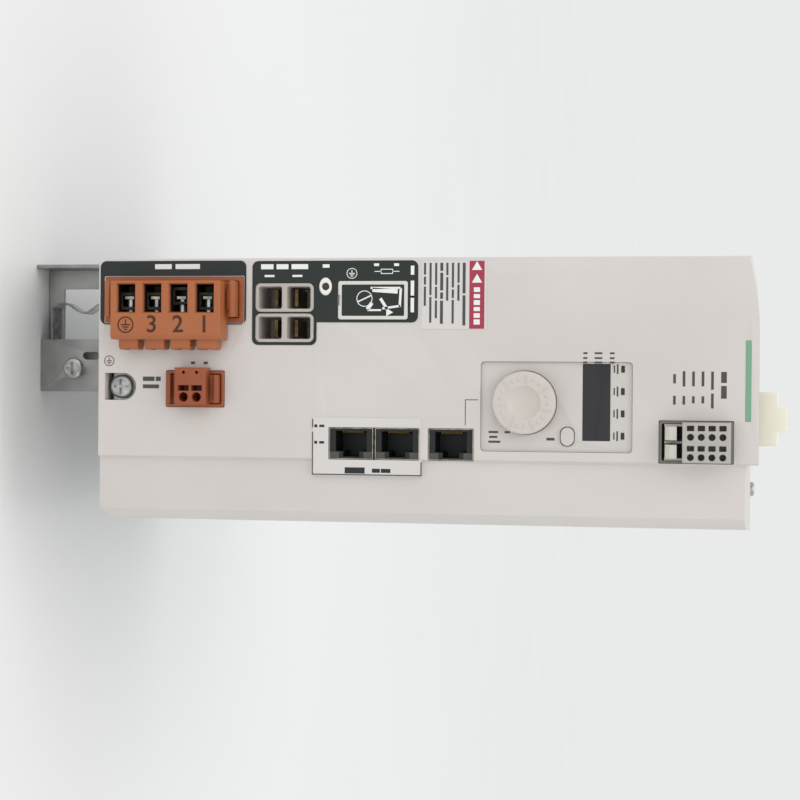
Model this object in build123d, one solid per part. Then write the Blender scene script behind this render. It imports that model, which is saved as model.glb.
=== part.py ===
from build123d import *
from math import sqrt
import os

# Servo drive for a cabinet wall: a steel case and finned heat sink on a rear plate, closed by a moulded hood.
# X is the drive's right seen from the front, Y runs back to the cabinet wall, Z is up.
# The origin is the centre of the four mounting holes, on the face that meets the wall. All sizes are in mm.

# ------------------------------------------------------------------ driving dimensions
plate_height = 270.0        # rear plate, end to end
case_width = 108.0          # across the case and the hood's rear
case_depth = 237.0          # wall face to hood face
case_height = 249.0         # case and hood, leaving the plate's lugs free for a screwdriver
hole_pitch_x = 82.0         # mounting holes, M5
hole_pitch_z = 258.0
hole_radius = 2.75
plate_thickness = 2.5
sheet = 1.2                 # case sheet
hood_depth = 52.0
hood_wall = 2.5
side_draft = 3.8            # the hood narrows by this on each side, towards its front
clearance = 0.2             # between parts that drop into one another
print_thickness = 0.2       # labels and printed film

left, right = -case_width / 2, case_width / 2
foot, top = -case_height / 2, case_height / 2
front_left, front_right = left + side_draft, right - side_draft
face = -case_depth                      # front of the hood
hood_rear = face + hood_depth
band_drop = 2.0                         # the right-hand band of the hood lies this far back
hood_inner = face + band_drop + hood_wall


# ------------------------------------------------------------------ drawing helpers
def block(x, y, z):
    """A box from three (low, high) pairs."""
    centre = Pos((x[0] + x[1]) / 2, (y[0] + y[1]) / 2, (z[0] + z[1]) / 2)
    return centre * Box(x[1] - x[0], y[1] - y[0], z[1] - z[0])


def span(centre, size):
    """The (low, high) pair of a length about its centre."""
    return centre - size / 2, centre + size / 2


def along_y(profile, y):
    """A profile drawn in X and Z, made solid from y[0] to y[1]."""
    return extrude(Plane.XZ.offset(-y[1]) * profile, amount=y[1] - y[0])


def along_z(profile, z):
    return extrude(Plane.XY.offset(z[0]) * profile, amount=z[1] - z[0])


def along_x(profile, x):
    """A profile drawn in Y and Z, made solid from x[0] to x[1]."""
    return extrude(Plane.YZ.offset(x[0]) * profile, amount=x[1] - x[0])


def plate(x, z, size_x, size_z, radius, y):
    """A plate with rounded corners, lying across Y."""
    return along_y(Pos(x, z) * RectangleRounded(size_x, size_z, radius), y)


def disc(x, z, radius, y):
    return along_y(Pos(x, z) * Circle(radius), y)


def group(shapes):
    """Separate solids that share one node."""
    return Compound(children=[solid for shape in shapes for solid in shape.solids()])


def pan_screw(head_radius, head_height, shank_radius, length, slot=0.9):
    """A cross-slotted pan head screw on +Z, its head's underside at the origin."""
    head = Cylinder(head_radius, head_height, align=(Align.CENTER, Align.CENTER, Align.MIN))
    head = fillet(head.edges().sort_by(Axis.Z)[-1], head_height * 0.45)
    deep = head_height * 0.55
    for turn in (0, 90):
        cut = Rot(0, 0, turn) * Box(head_radius * 1.25, slot, deep * 2)
        head -= Pos(0, 0, head_height) * cut
    shank = Cylinder(shank_radius, length, align=(Align.CENTER, Align.CENTER, Align.MAX))
    return head + shank


TO_FRONT = Rot(90, 0, 0)                # turns a screw's +Z to -Y, out of the front

# ------------------------------------------------------------------ rear plate
lug_radius = 4.0
outer_fin = 6.0                         # the two end fins are thicker
sink_width = case_width - 2 * sheet - 2 * clearance
mounting_holes = [(sx * hole_pitch_x / 2, sz * hole_pitch_z / 2) for sx in (-1, 1) for sz in (-1, 1)]


def make_rear_plate():
    body = plate(0, 0, case_width, plate_height, lug_radius, (-plate_thickness, 0))
    for x, z in mounting_holes:
        body -= disc(x, z, hole_radius, (-plate_thickness, 0))
    return body


# ------------------------------------------------------------------ fan and heat sink
fan_size = 80.0
fan_depth = 25.0
fan_bore = 38.5
fan_clearance = 0.75
sink_base = 8.0
fin_thickness = 2.0
fin_count = 11
channel = (-plate_thickness - fan_size - 2 * fan_clearance, -plate_thickness)   # the fins' and the fan's Y
sink_face = channel[0] - sink_base
fan_y = sum(channel) / 2
fan_foot = foot + sheet
sink_foot = fan_foot + fan_depth + 2.0
sink_top = top - sheet - 5.0


def make_heat_sink():
    z = (sink_foot, sink_top)
    body = block(span(0, sink_width), (sink_face, channel[0]), z)
    inner = sink_width - 2 * outer_fin
    pitch = (inner + fin_thickness) / (fin_count + 1)
    for i in range(fin_count):
        x = -inner / 2 - fin_thickness / 2 + (i + 1) * pitch
        body += block(span(x, fin_thickness), channel, z)
    for side in (-1, 1):
        body += block(span(side * (sink_width - outer_fin) / 2, outer_fin), channel, z)
    return body


fan_hub = 17.0
fan_pin = 1.5
fan_running = 0.06                      # radial clearance of the fan's pin
fan_arm = 3.0


def make_fan_frame():
    z = (fan_foot, fan_foot + fan_depth)
    body = along_z(Pos(0, fan_y) * RectangleRounded(fan_size, fan_size, 4), z)
    body -= along_z(Pos(0, fan_y) * Circle(fan_bore), z)
    corner = fan_size / 2 - 4.25
    for sx in (-1, 1):
        for sy in (-1, 1):
            body -= along_z(Pos(sx * corner, fan_y + sy * corner) * Circle(2.2), z)
    arms = (z[0], z[0] + fan_arm)
    for turn in (45, 135):
        body += along_z(Pos(0, fan_y) * Rot(0, 0, turn) * Rectangle(2 * fan_bore + 2, 4), arms)
    body += along_z(Pos(0, fan_y) * Circle(fan_hub), arms)
    return body - along_z(Pos(0, fan_y) * Circle(fan_pin + fan_running), arms)


def make_fan_rotor():
    z = (fan_foot + fan_arm + 0.6, fan_foot + fan_depth - 0.8)
    hub = along_z(Circle(fan_hub + 0.5), z)
    hub = fillet(hub.edges().sort_by(Axis.Z)[-1], 1.5)
    hub += along_z(Circle(fan_pin), (fan_foot + 0.4, z[0] + 1))
    reach = fan_bore - 1.0
    tall = z[1] - z[0] - 3.0
    middle = sum(z) / 2
    limit = along_z(Circle(reach), z)
    for i in range(7):
        blade = Pos((fan_hub + reach) / 2, 0, middle) * Rot(38, 0, 0) * Box(reach - fan_hub, 1.2, tall)
        hub += Rot(0, 0, i * 360 / 7) * (blade & limit)
    return Pos(0, fan_y, 0) * hub


# ------------------------------------------------------------------ sheet case
vent_width = 3.2
vent_pitch = 7.0
side_vent_length = 22.0


end_vent_count = 11
side_vent_count = 8
side_vents_z = (-60.0, -20.0, 20.0, 60.0)


def end_vents_x():
    return [(i - (end_vent_count - 1) / 2) * vent_pitch for i in range(end_vent_count)]


def make_case():
    """A folded sheet tube, open to the hood and to the rear plate, with air slots punched in it."""
    y = (hood_rear, -plate_thickness)
    body = block((left, right), y, (foot, top))
    body -= block((left + sheet, right - sheet), y, (foot + sheet, top - sheet))
    floor, roof = (foot, foot + sheet), (top - sheet, top)
    reach = fan_bore - 1.5
    for x in end_vents_x():
        half = sqrt(reach ** 2 - x ** 2)
        for y_span in ((fan_y - half, fan_y - 2), (fan_y + 2, fan_y + half)):
            body -= block(span(x, vent_width), y_span, floor)
            body -= block(span(x, vent_width), y_span, roof)
        body -= block(span(x, vent_width), (hood_rear + 52, hood_rear + 88), floor)
    for z in side_vents_z:
        for i in range(side_vent_count):
            y_mid = hood_rear + 30 + i * vent_pitch
            for x in ((left, left + sheet), (right - sheet, right)):
                body -= block(x, span(y_mid, vent_width), span(z, side_vent_length))
    body -= block(span(0, mains_size_x + 2 * clearance), span(mains_y, mains_size_y + 2 * clearance), roof)
    body -= block(span(encoder_x, encoder_size_x + 2 * clearance),
                  span(encoder_y, encoder_size_y + 2 * clearance), floor)
    for x, z in hood_screws_at:
        wall = roof if z > 0 else floor
        body -= along_z(Pos(x, hood_screw_y) * Circle(hood_screw_radius + clearance), wall)
    for x in shield_screws_x:
        body -= along_z(Pos(x, shield_screw_y) * Circle(hood_screw_radius + clearance), floor)
    return body


# ------------------------------------------------------------------ mains socket and encoder jack
mains_poles = 4
mains_pitch = 10.16
mains_wall = 1.3
mains_depth = 15.0                      # socket height above its floor
mains_size_x = mains_poles * mains_pitch + mains_wall
mains_size_y = 16.0
mains_y = hood_rear + 30.0
mains_z = (top - 18.0, top + 1.0)
socket_flange = 2.0                     # flange that catches under the sheet
encoder_x = 20.0
encoder_y = hood_rear + 18.0
encoder_size_x = 16.2
encoder_size_y = 13.0
encoder_z = (foot - 0.4, foot + 15.0)
encoder_depth = 12.0
pin_thickness = 1.2


def mains_poles_x():
    return [(i - (mains_poles - 1) / 2) * mains_pitch for i in range(mains_poles)]


def make_mains_socket():
    body = block(span(0, mains_size_x), span(mains_y, mains_size_y), mains_z)
    body += block(span(0, mains_size_x + 2 * socket_flange), span(mains_y, mains_size_y + 2 * socket_flange),
                  (top - sheet - 1.5, top - sheet))
    for x in mains_poles_x():
        body -= block(span(x, mains_pitch - mains_wall), span(mains_y, mains_size_y - 2 * mains_wall),
                      (mains_z[1] - mains_depth, mains_z[1]))
    return body


def make_mains_pins():
    """Tinned blades that stand on the floor of each chamber, near its front wall."""
    z = (mains_z[1] - mains_depth, mains_z[1] - 4.0)
    y = span(mains_y - mains_size_y / 2 + mains_wall + 2.2, pin_thickness)
    return [block(span(x, 5.0), y, z) for x in mains_poles_x()]


def make_encoder_jack():
    """The motor encoder's jack, which opens through the case floor."""
    body = block(span(encoder_x, encoder_size_x), span(encoder_y, encoder_size_y), encoder_z)
    body += block(span(encoder_x, encoder_size_x + 2 * socket_flange),
                  span(encoder_y, encoder_size_y + 2 * socket_flange), (foot + sheet, foot + sheet + 1.5))
    deep = (encoder_z[0], encoder_z[0] + encoder_depth)
    body -= block(span(encoder_x, cavity_z), (encoder_y + cavity_x[0], encoder_y + cavity_x[1]), deep)
    return body - block(span(encoder_x, latch_z), (encoder_y + cavity_x[1], encoder_y + latch_x), deep)


# ------------------------------------------------------------------ hood
band_from_right = 23.9                  # where the lowered band starts
band_step = 0.6                         # half the run of the step down to the band
bevel_width = 4.1                       # right front edge
bevel_depth = 10.0
left_bevel = 1.0
crown_drop = 5.4                        # how far the top edge has dropped at the left side
crown_run = 33.8                        # length over which it drops
band_top_drop = 5.0
top_slope = 0.1                         # rise of the top wall per mm of depth
hood_corner = 2.0
tongue = 8.0                            # lip that slides into the case
hood_screw_radius = 1.5
hood_screw_x = 38.0
hood_screw_y = hood_rear + 4.0
hood_screws_at = [(sx * hood_screw_x, z) for sx in (-1, 1) for z in (foot, top)]
band_x = front_right - band_from_right


def hood_plan():
    """The hood seen from above, in X and Y."""
    points = [(left, hood_rear), (front_left, face + bevel_depth), (front_left + left_bevel, face),
              (band_x - band_step, face), (band_x + band_step, face + band_drop),
              (front_right - bevel_width, face + band_drop), (front_right, face + bevel_depth),
              (right, hood_rear)]
    return make_face(Polyline(*points, close=True))


def crown():
    """What the sloping top wall leaves, seen from the front: a curve down to the left, a step at the band."""
    over = 20.0
    bend = (crown_run ** 2 + crown_drop ** 2) / (2 * crown_drop)
    middle = (left + crown_run / 2, top - bend + sqrt(bend ** 2 - (crown_run / 2) ** 2))
    arc = ThreePointArc((left, top - crown_drop), middle, (left + crown_run, top))
    rest = Polyline((left + crown_run, top), (band_x, top), (band_x, top - band_top_drop),
                    (right + over, top - band_top_drop), (right + over, foot - over),
                    (left - over, foot - over), (left - over, top - crown_drop), (left, top - crown_drop))
    return make_face(Wire([*arc.edges(), *rest.edges()]))


def face_window(x, z, size_x, size_z, radius=0.6):
    return plate(x, z, size_x, size_z, radius, (face - 1, hood_inner + 3))


def make_hood():
    body = along_z(hood_plan(), (foot, top))
    body += block((band_x - 2, port_tab_x), (face, face + band_drop), port_tab_z)
    sloped = extrude(Plane.XZ.offset(-face) * crown(), dir=(0, 1, top_slope), amount=hood_depth + 5)
    sloped += extrude(Plane.XZ.offset(-face - 5) * crown(), amount=10)
    body = body & sloped
    corners = [e for e in body.edges() if e.length > hood_depth * 0.3 and e.center().Z < foot + 0.01]
    corners = [e for e in corners if abs(e.center().X) > front_right - 1 and e.center().Y < hood_rear - 1]
    body = fillet(corners, hood_corner)
    inner = [(left + hood_wall, hood_rear + 1), (front_left + hood_wall, face + bevel_depth),
             (front_left + hood_wall + 2, hood_inner), (front_right - hood_wall - bevel_width, hood_inner),
             (front_right - hood_wall, face + bevel_depth + band_drop), (right - hood_wall, hood_rear + 1)]
    inner = along_z(make_face(Polyline(*inner, close=True)), (foot + hood_wall, top - hood_wall))
    body -= inner & (Pos(0, 0, -hood_wall) * sloped)
    lip_y = (hood_rear - 3, hood_rear + tongue)
    x0, z0 = right - sheet - clearance / 2, top - sheet - clearance / 2
    lip = block((-x0, x0), (hood_rear, lip_y[1]), (-z0, z0))
    lip += block((-x0 + 0.5, x0 - 0.5), (hood_rear - 1, hood_rear), (-z0 + 0.5, z0 - 0.5))
    lip -= block((-x0 + 2, x0 - 2), lip_y, (-z0 + 2, z0 - 2))
    body += lip
    for x, z in hood_screws_at:
        body -= along_z(Pos(x, hood_screw_y) * Circle(hood_screw_radius + 0.05), span(z, 12.0))
    return cut_front(body)


def cut_front(body):
    """Every opening, pocket and window in the hood's front."""
    body -= face_window(motor_x, motor_z, motor_socket_x + 2 * clearance, motor_socket_z + 2 * clearance)
    body -= face_window(brake_x, brake_z, brake_socket_x + 2 * clearance, brake_socket_z + 2 * clearance)
    for x in bus_rows_x:
        body -= face_window(x, bus_z, bus_size_x + 2 * clearance, bus_size_z + 2 * clearance, bus_radius)
    body -= face_window(cover_x, cover_z, cover_size_x + 2 * clearance, cover_size_z + 2 * clearance, 1)
    body -= along_y(Pos(lamp_x, lamp_z) * Ellipse(lamp_size_x / 2 + 0.1, lamp_size_z / 2 + 0.1),
                    (face - 1, hood_inner + 1))
    for x, z, size_z in port_windows:
        body -= face_window(x, z, jack_size_x + 2 * clearance, size_z + 2 * clearance, 0.4)
    body -= plate(hmi_x, hmi_z, hmi_size_x, hmi_size_z, hmi_radius, (face - 1, hmi_seat))
    body -= plate(hmi_x, hmi_z, hmi_size_x - 2 * hmi_rim, hmi_size_z - 2 * hmi_rim, hmi_radius,
                  (face - 1, hood_inner + 1))
    body -= plate(io_x, io_z, io_socket_x + 2 * clearance, io_socket_z + 2 * clearance, 0.4,
                  (face - 1, io_step + 1))
    body -= plate(strip_x, strip_z, strip_length, strip_width, 0.3, (face - 1, face + strip_depth))
    body -= earth_recess(0)
    body -= block(span(supply_x, supply_socket_x + 2 * clearance),
                  span(supply_y, supply_socket_y + 2 * clearance),
                  (supply_bottom, top + 5))
    return body


def make_case_screws():
    """M3 screws: four through the case into the hood's lip, two that hold the shield bracket."""
    screw = pan_screw(2.8, 1.8, hood_screw_radius, 6.0, 0.7)
    hanging = Rot(180, 0, 0) * screw
    screws = [Pos(x, hood_screw_y, z) * (screw if z > 0 else hanging) for x, z in hood_screws_at]
    screws += [Pos(x, shield_screw_y, foot - shield_sheet) * hanging for x in shield_screws_x]
    return group(screws)


# ------------------------------------------------------------------ boards inside
board = 1.6
control_y = (face + 22.0, face + 22.0 + board)
socket_rear = control_y[0]              # front sockets stand on this plane
board_edge = side_draft + hood_wall + clearance     # board edge to the case's outside
board_foot = foot + 6.0
module_height = 6.0
power_y = (sink_face - module_height - board, sink_face - module_height)
spacer_radius = 3.0
spacer_inset = 6.0


def make_front_board():
    """The board that carries every front socket, with the key's switch soldered to it."""
    body = block((left + board_edge, right - board_edge), control_y, (board_foot, supply_bottom))
    return group([body, make_esc_switch()])


def make_power_board():
    return block((left + board_edge, right - board_edge), power_y, (board_foot, supply_bottom))


def make_spacers():
    x = (left + board_edge + spacer_inset, right - board_edge - spacer_inset)
    z = (board_foot + spacer_inset, supply_bottom - spacer_inset)
    y = (control_y[1], power_y[0])
    return group([along_y(Pos(px, pz) * RegularPolygon(spacer_radius, 6), y) for px in x for pz in z])


capacitor_radius = 14.0
capacitor_length = 45.0
capacitor_pitch = 30.0


def make_capacitors():
    cans = []
    for i in range(2):
        for k in range(3):
            x = right - board_edge - 18 - i * capacitor_pitch
            z = supply_bottom - 30 - k * capacitor_pitch
            can = disc(x, z, capacitor_radius, (power_y[0] - capacitor_length, power_y[0]))
            can = fillet(can.edges().sort_by(Axis.Y)[0], 1.0)
            cans.append(can)
    return group(cans)


def make_power_module():
    return block(span(0, 62), (power_y[1], sink_face), span(-10, 110))


# ------------------------------------------------------------------ motor socket and plug
motor_poles = 4
motor_pitch = 10.16
motor_latch = 6.8                       # room at each end of the socket for the plug's latches
motor_socket_x = 17.1
motor_socket_z = motor_poles * motor_pitch + 2 * motor_latch
motor_x = front_left + 16.2             # centre of the socket
motor_z = foot + hood_wall + clearance + motor_socket_z / 2
socket_wall = 1.5
socket_rim = 0.4                        # socket rims stand this far out of the hood
motor_plug_out = 12.0                   # plug body in front of the hood
motor_nose = 15.0                       # plug nose inside the socket
motor_body_x = (motor_x - 6.5, motor_x + 15.5)
motor_body_z = motor_poles * motor_pitch + 2.0
motor_front = face - motor_plug_out
plug_shoulder = face - socket_rim - 0.2     # the plug bodies stop just short of the socket rims
entry_x = (motor_x - 5.2, motor_x + 5.2)
entry_z = 6.6
entry_depth = 14.0
clamp_size = 6.8                        # yoke length along the wire
screw_y = motor_front + 7.2
clamp_head = 2.9
clamp_shank = 1.75
clamp_collar = 3.8                      # collar length past the plug's side
collar_size = 7.4
latch_out = 6.5                         # the latches' tips in front of the hood
latch_wall = 1.8
plug_fit = 0.3


def motor_poles_z():
    return [motor_z + (i - (motor_poles - 1) / 2) * motor_pitch for i in range(motor_poles)]


def socket_tray(x, z, size_x, size_z, wall, front, rear, floor=2.0):
    """A socket's shroud: a block with one deep pocket, standing on the board behind the hood."""
    body = plate(x, z, size_x, size_z, 0.8, (front, rear))
    return body - plate(x, z, size_x - 2 * wall, size_z - 2 * wall, 0.5, (front, rear - floor))


def make_motor_socket():
    return socket_tray(motor_x, motor_z, motor_socket_x, motor_socket_z, socket_wall,
                       face - socket_rim, socket_rear)


def make_motor_pins():
    y = (face + 6.0, socket_rear - 2.0)
    return [block(span(motor_x, 4.0), y, span(z, pin_thickness)) for z in motor_poles_z()]


def make_motor_plug():
    inside_x = motor_socket_x - 2 * socket_wall - 2 * plug_fit
    inside_z = motor_socket_z - 2 * socket_wall - 2 * plug_fit
    body = block(motor_body_x, (motor_front, plug_shoulder), span(motor_z, motor_body_z))
    slope = [e for e in body.edges().filter_by(Axis.Z) if e.center().X > motor_x and e.center().Y < face - 5]
    body = chamfer(slope, 1.6)
    body += block(span(motor_x, inside_x), (plug_shoulder, face + motor_nose), span(motor_z, motor_body_z))
    for side in (-1, 1):
        outer = motor_z + side * inside_z / 2
        leaf = sorted((outer, outer - side * latch_wall))
        body += block(span(motor_x, inside_x), (face - latch_out, face + 3.0), leaf)
        body += block(span(motor_x, inside_x), (face - 1, face + 3.0),
                      sorted((outer, motor_z + side * (motor_body_z / 2 - 1))))
        body += block(span(motor_x, inside_x * 0.55), (face - latch_out + 1.5, face - 1),
                      sorted((outer - side * latch_wall, outer - side * (latch_wall + 1.4))))
    for z in motor_poles_z():
        collar = block((motor_body_x[1] - 1, motor_body_x[1] + clamp_collar), span(screw_y, collar_size),
                       span(z, collar_size))
        body += chamfer([e for e in collar.edges().filter_by(Axis.Z) if e.center().X > motor_body_x[1]], 1.0)
    body = fillet([e for e in body.edges().filter_by(Axis.X) if e.center().Y < motor_front + 0.1], 0.5)
    for z in motor_poles_z():
        body -= block(entry_x, (motor_front, motor_front + entry_depth), span(z, entry_z))
        funnel = Pos((entry_x[0] + entry_x[1]) / 2, 0) * Rectangle(entry_x[1] - entry_x[0] + 1, entry_z + 1)
        body -= Pos(0, 0, z) * extrude(Plane.XZ.offset(-motor_front) * funnel, amount=-1.2, taper=22)
        outside = motor_body_x[1] + clamp_collar
        body -= Pos(0, screw_y, z) * along_x(Circle(clamp_head + clearance), (screw_head_x - 0.2, outside))
        shank = along_x(Circle(clamp_shank + clearance), (entry_x[1] - 1, entry_x[1] + 3))
        body -= Pos(0, screw_y, z) * shank
        body -= block(span(motor_x, 4.6), (face + 5.0, face + motor_nose), span(z, pin_thickness + 0.8))
    return body


yoke_wall = 1.1
yoke_rise = 0.9                         # from a closed yoke to the chamber's screw side
yoke_travel = 3.0
contact_bar = 1.0
contact_x = entry_x[1] - yoke_rise - yoke_wall - yoke_travel    # the bar's screw side
yoke_length = yoke_travel + contact_bar + 2 * yoke_wall + 0.3
yoke_y = span(screw_y, clamp_size)
yoke_open = (0.0, 0.0, 2.0, 0.0)        # how far each pole's yoke is let down, from the earth pole up
screw_head_x = entry_x[1] + 2.2


def make_clamp_screw(z):
    """The clamp screw's head sits at the bottom of its collar; its tip bears on the contact bar."""
    head_x = (screw_head_x, screw_head_x + 2.8)
    screw = along_x(Circle(clamp_head), head_x) + along_x(Circle(clamp_shank), (contact_x + 0.05, head_x[0]))
    screw -= block((head_x[1] - 1.4, head_x[1]), (-clamp_head, clamp_head), span(0, 0.9))
    return Pos(0, screw_y, z) * screw


def make_yoke(index, z):
    """A box cage that the screw draws along X; it grips the wire against the contact bar."""
    high = entry_x[1] - yoke_rise - yoke_open[index]
    x = (high - yoke_length, high)
    cage = block(x, yoke_y, span(z, entry_z - 0.5))
    cage -= block((x[0] + yoke_wall, x[1] - yoke_wall), yoke_y, span(z, entry_z - 0.5 - 1.6))
    return cage - Pos(0, screw_y, z) * along_x(Circle(clamp_shank + 0.08), (high - yoke_wall - 0.1, high))


def make_plug_contacts():
    """The plug's contact bars, which run through the yokes to the rear of the wire chambers."""
    y = (yoke_y[0] + 0.8, motor_front + entry_depth)
    x = (contact_x - contact_bar, contact_x)
    return group([block(x, y, span(z, entry_z - 3.2)) for z in motor_poles_z()])


# ------------------------------------------------------------------ holding brake socket and plug
brake_poles = 2
brake_pitch = 5.08
brake_latch = 5.3
brake_x = 0.0
brake_z = foot + 38.4
brake_body_z = brake_poles * brake_pitch + 2.0
brake_socket_x = 13.7
brake_socket_z = brake_body_z + 2 * brake_latch
brake_wall = 1.2
brake_out = 7.5
brake_body_x = (brake_x - 8.0, brake_x + 6.2)
brake_nose = 14.0


def make_brake_socket():
    return socket_tray(brake_x, brake_z, brake_socket_x, brake_socket_z, brake_wall,
                       face - socket_rim, socket_rear)


def make_brake_pins():
    y = (face + 6.0, socket_rear - 2.0)
    return [block(span(brake_x, 1.0), y, span(brake_z + side * brake_pitch / 2, 1.0)) for side in (-1, 1)]


def make_brake_plug():
    inside_x = brake_socket_x - 2 * brake_wall - 2 * plug_fit
    inside_z = brake_socket_z - 2 * brake_wall - 2 * plug_fit
    front = face - brake_out
    body = block(brake_body_x, (front, plug_shoulder), span(brake_z, brake_body_z))
    body = fillet(body.faces().sort_by(Axis.Y)[0].edges(), 0.5)
    body += block(span(brake_x, inside_x), (plug_shoulder, face + brake_nose), span(brake_z, brake_body_z))
    for side in (-1, 1):
        outer = brake_z + side * inside_z / 2
        body += block(span(brake_x, inside_x), (face - 4.5, face + 3), sorted((outer, outer - side * 1.4)))
        body += block(span(brake_x, inside_x), (face - 1, face + 3),
                      sorted((outer, brake_z + side * (brake_body_z / 2 - 1))))
    for side in (-1, 1):
        z = brake_z + side * brake_pitch / 2
        body -= disc(brake_x + 3.1, z, 1.8, (front, front + 10))
        body -= block(span(brake_x - 0.3, 2.1), (front, front + 8), span(z, brake_pitch - 0.8))
        body -= disc(brake_x - 6.2, z, 0.6, (front, front + 4))
        body -= block(span(brake_x, 2.0), (face + 5, face + brake_nose), span(z, 2.0))
    return body


# ------------------------------------------------------------------ DC bus sockets
bus_size_x = 10.8
bus_size_z = 22.4
bus_rows_x = (front_left + 10.1 + bus_size_x / 2, front_left + 10.7 + bus_size_x * 1.5)
motor_label_z = (foot + 0.6, motor_z + motor_socket_z / 2 + 1.2)
bus_label_foot = motor_label_z[1] + 2.4
bus_z = bus_label_foot + 1.4 + bus_size_z / 2
bus_radius = 2.0
bus_rim = 0.9
bus_wall = 1.2
bus_divider = 2.0
bus_blade_offset = 1.6                  # blades stand nearer the divider than the end wall


def bus_chambers_z():
    size = (bus_size_z - 2 * bus_wall - bus_divider) / 2
    return size, [bus_z + side * (bus_divider + size) / 2 for side in (-1, 1)]


def make_bus_sockets():
    size, centres = bus_chambers_z()
    sockets = []
    for x in bus_rows_x:
        body = plate(x, bus_z, bus_size_x, bus_size_z, bus_radius, (face - bus_rim, socket_rear))
        for z in centres:
            body -= plate(x, z, bus_size_x - 2 * bus_wall, size, 0.9, (face - bus_rim, socket_rear - 2.5))
        sockets.append(body)
    return group(sockets)


def make_bus_blades():
    size, centres = bus_chambers_z()
    y = (face + 3.0, socket_rear - 2.5)
    blades = []
    for x in bus_rows_x:
        for z in centres:
            towards = bus_blade_offset if z < bus_z else -bus_blade_offset
            blades.append(block(span(x, 6.4), y, span(z + towards, 1.2)))
    return group(blades)


# ------------------------------------------------------------------ bus charge lamp
lamp_size_x = 6.7
lamp_size_z = 4.8
lamp_eye = 1.4
lamp_x = front_left + 11.3
lamp_z = bus_z + bus_size_z / 2 + 2.1 + lamp_size_z / 2


def make_charge_lamp():
    """A white light pipe with a dark eye, from the control board to the hood."""
    body = along_y(Pos(lamp_x, lamp_z) * Ellipse(lamp_size_x / 2, lamp_size_z / 2), (face - 0.5, face + 3))
    body += disc(lamp_x, lamp_z, lamp_eye, (face + 3, socket_rear))
    return body - disc(lamp_x, lamp_z, lamp_eye, (face - 0.5, face + 1.5))


# ------------------------------------------------------------------ braking resistor terminals and cover
cover_size_x = 14.4
cover_size_z = 26.4
cover_x = front_left + 16.5
cover_z = lamp_z + lamp_size_z / 2 + 2.5 + cover_size_z / 2
cover_thickness = 2.2
cover_frame = 1.3                       # pale frame round the cover's dark field
cover_leg = 9.0
cover_front = face - print_thickness - 0.3


def make_resistor_cover():
    y = (cover_front, cover_front + cover_thickness)
    body = plate(cover_x, cover_z, cover_size_x, cover_size_z, 0.9, y)
    inner = plate(cover_x, cover_z, cover_size_x - 2 * cover_frame, cover_size_z - 2 * cover_frame, 0.5,
                  (y[0], y[0] + 0.3))
    body -= inner
    for side in (-1, 1):
        end = cover_z + side * cover_size_z / 2
        body += block(span(cover_x, 6.0), (y[1], y[1] + cover_leg), sorted((end, end - side * 1.4)))
    notch = cover_z - cover_size_z / 2
    return body - block(span(cover_x, 4.0), (y[0], y[0] + 1.0), (notch, notch + 0.8))


resistor_socket_z = cover_size_z - 5.0
resistor_socket_x = cover_size_x - 1.4
resistor_wall = 1.2
resistor_front = face + 6.0


def make_resistor_socket():
    return socket_tray(cover_x, cover_z, resistor_socket_x, resistor_socket_z, resistor_wall,
                       resistor_front, socket_rear)


def make_resistor_pins():
    y = (resistor_front + 4, socket_rear - 2.0)
    return [block(span(cover_x - 3.4, 1.0), y, span(cover_z + i * 6.4, 3.0)) for i in (-1, 0, 1)]


# ------------------------------------------------------------------ network jacks, below the operating panel
hmi_size_x = 33.4
hmi_size_z = 55.9
hmi_x = band_x - 3.9 - hmi_size_x / 2
hmi_z = top - 45.4 - hmi_size_z / 2
jack_size_x = 11.8
jack_size_z = 16.8
jack_shell = 0.3
jack_x = band_x - 0.3 - jack_size_x / 2
upper_jack_z = hmi_z - hmi_size_z / 2 - 2.6 - jack_size_z / 2
middle_jack_z = upper_jack_z - jack_size_z - 3.5
jacks_z = (middle_jack_z - jack_size_z - 0.7, middle_jack_z, upper_jack_z)
jack_front = face + 0.6
cavity_z = 11.9
cavity_x = (-4.7, 3.0)                  # from the jack's centre line; the contacts lie at the low end
latch_z = 6.2
latch_x = 5.0
jack_lamp_x = (3.2, jack_size_x / 2 - jack_shell)
jack_lamp_z = (jack_size_z / 2 - jack_shell - 3.4, jack_size_z / 2 - jack_shell)
cavity_depth = 15.0
contact_pitch = 1.02
jack_lamp_depth = 8.0
port_windows = ((jack_x, (jacks_z[0] + jacks_z[1]) / 2, jacks_z[1] - jacks_z[0] + jack_size_z),
                (jack_x, jacks_z[2], jack_size_z))
port_tab_x = front_right - 17.9         # the raised field round the ports runs over the band
port_tab_z = (jacks_z[0] - jack_size_z / 2 - 6.6, jacks_z[1] + jack_size_z / 2 + 1.0)


def jack_lamps_at(z):
    """The X and Z spans of the two lamps at the latch side of the jack at height z."""
    x = (jack_x + jack_lamp_x[0], jack_x + jack_lamp_x[1])
    return [(x, sorted((z + side * jack_lamp_z[0], z + side * jack_lamp_z[1]))) for side in (-1, 1)]


def make_jack_shells():
    shells = []
    for z in jacks_z:
        y = (jack_front, socket_rear)
        shell = block(span(jack_x, jack_size_x), y, span(z, jack_size_z))
        shell -= block(span(jack_x, jack_size_x - 2 * jack_shell), y, span(z, jack_size_z - 2 * jack_shell))
        shells.append(shell)
    return group(shells)


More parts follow.
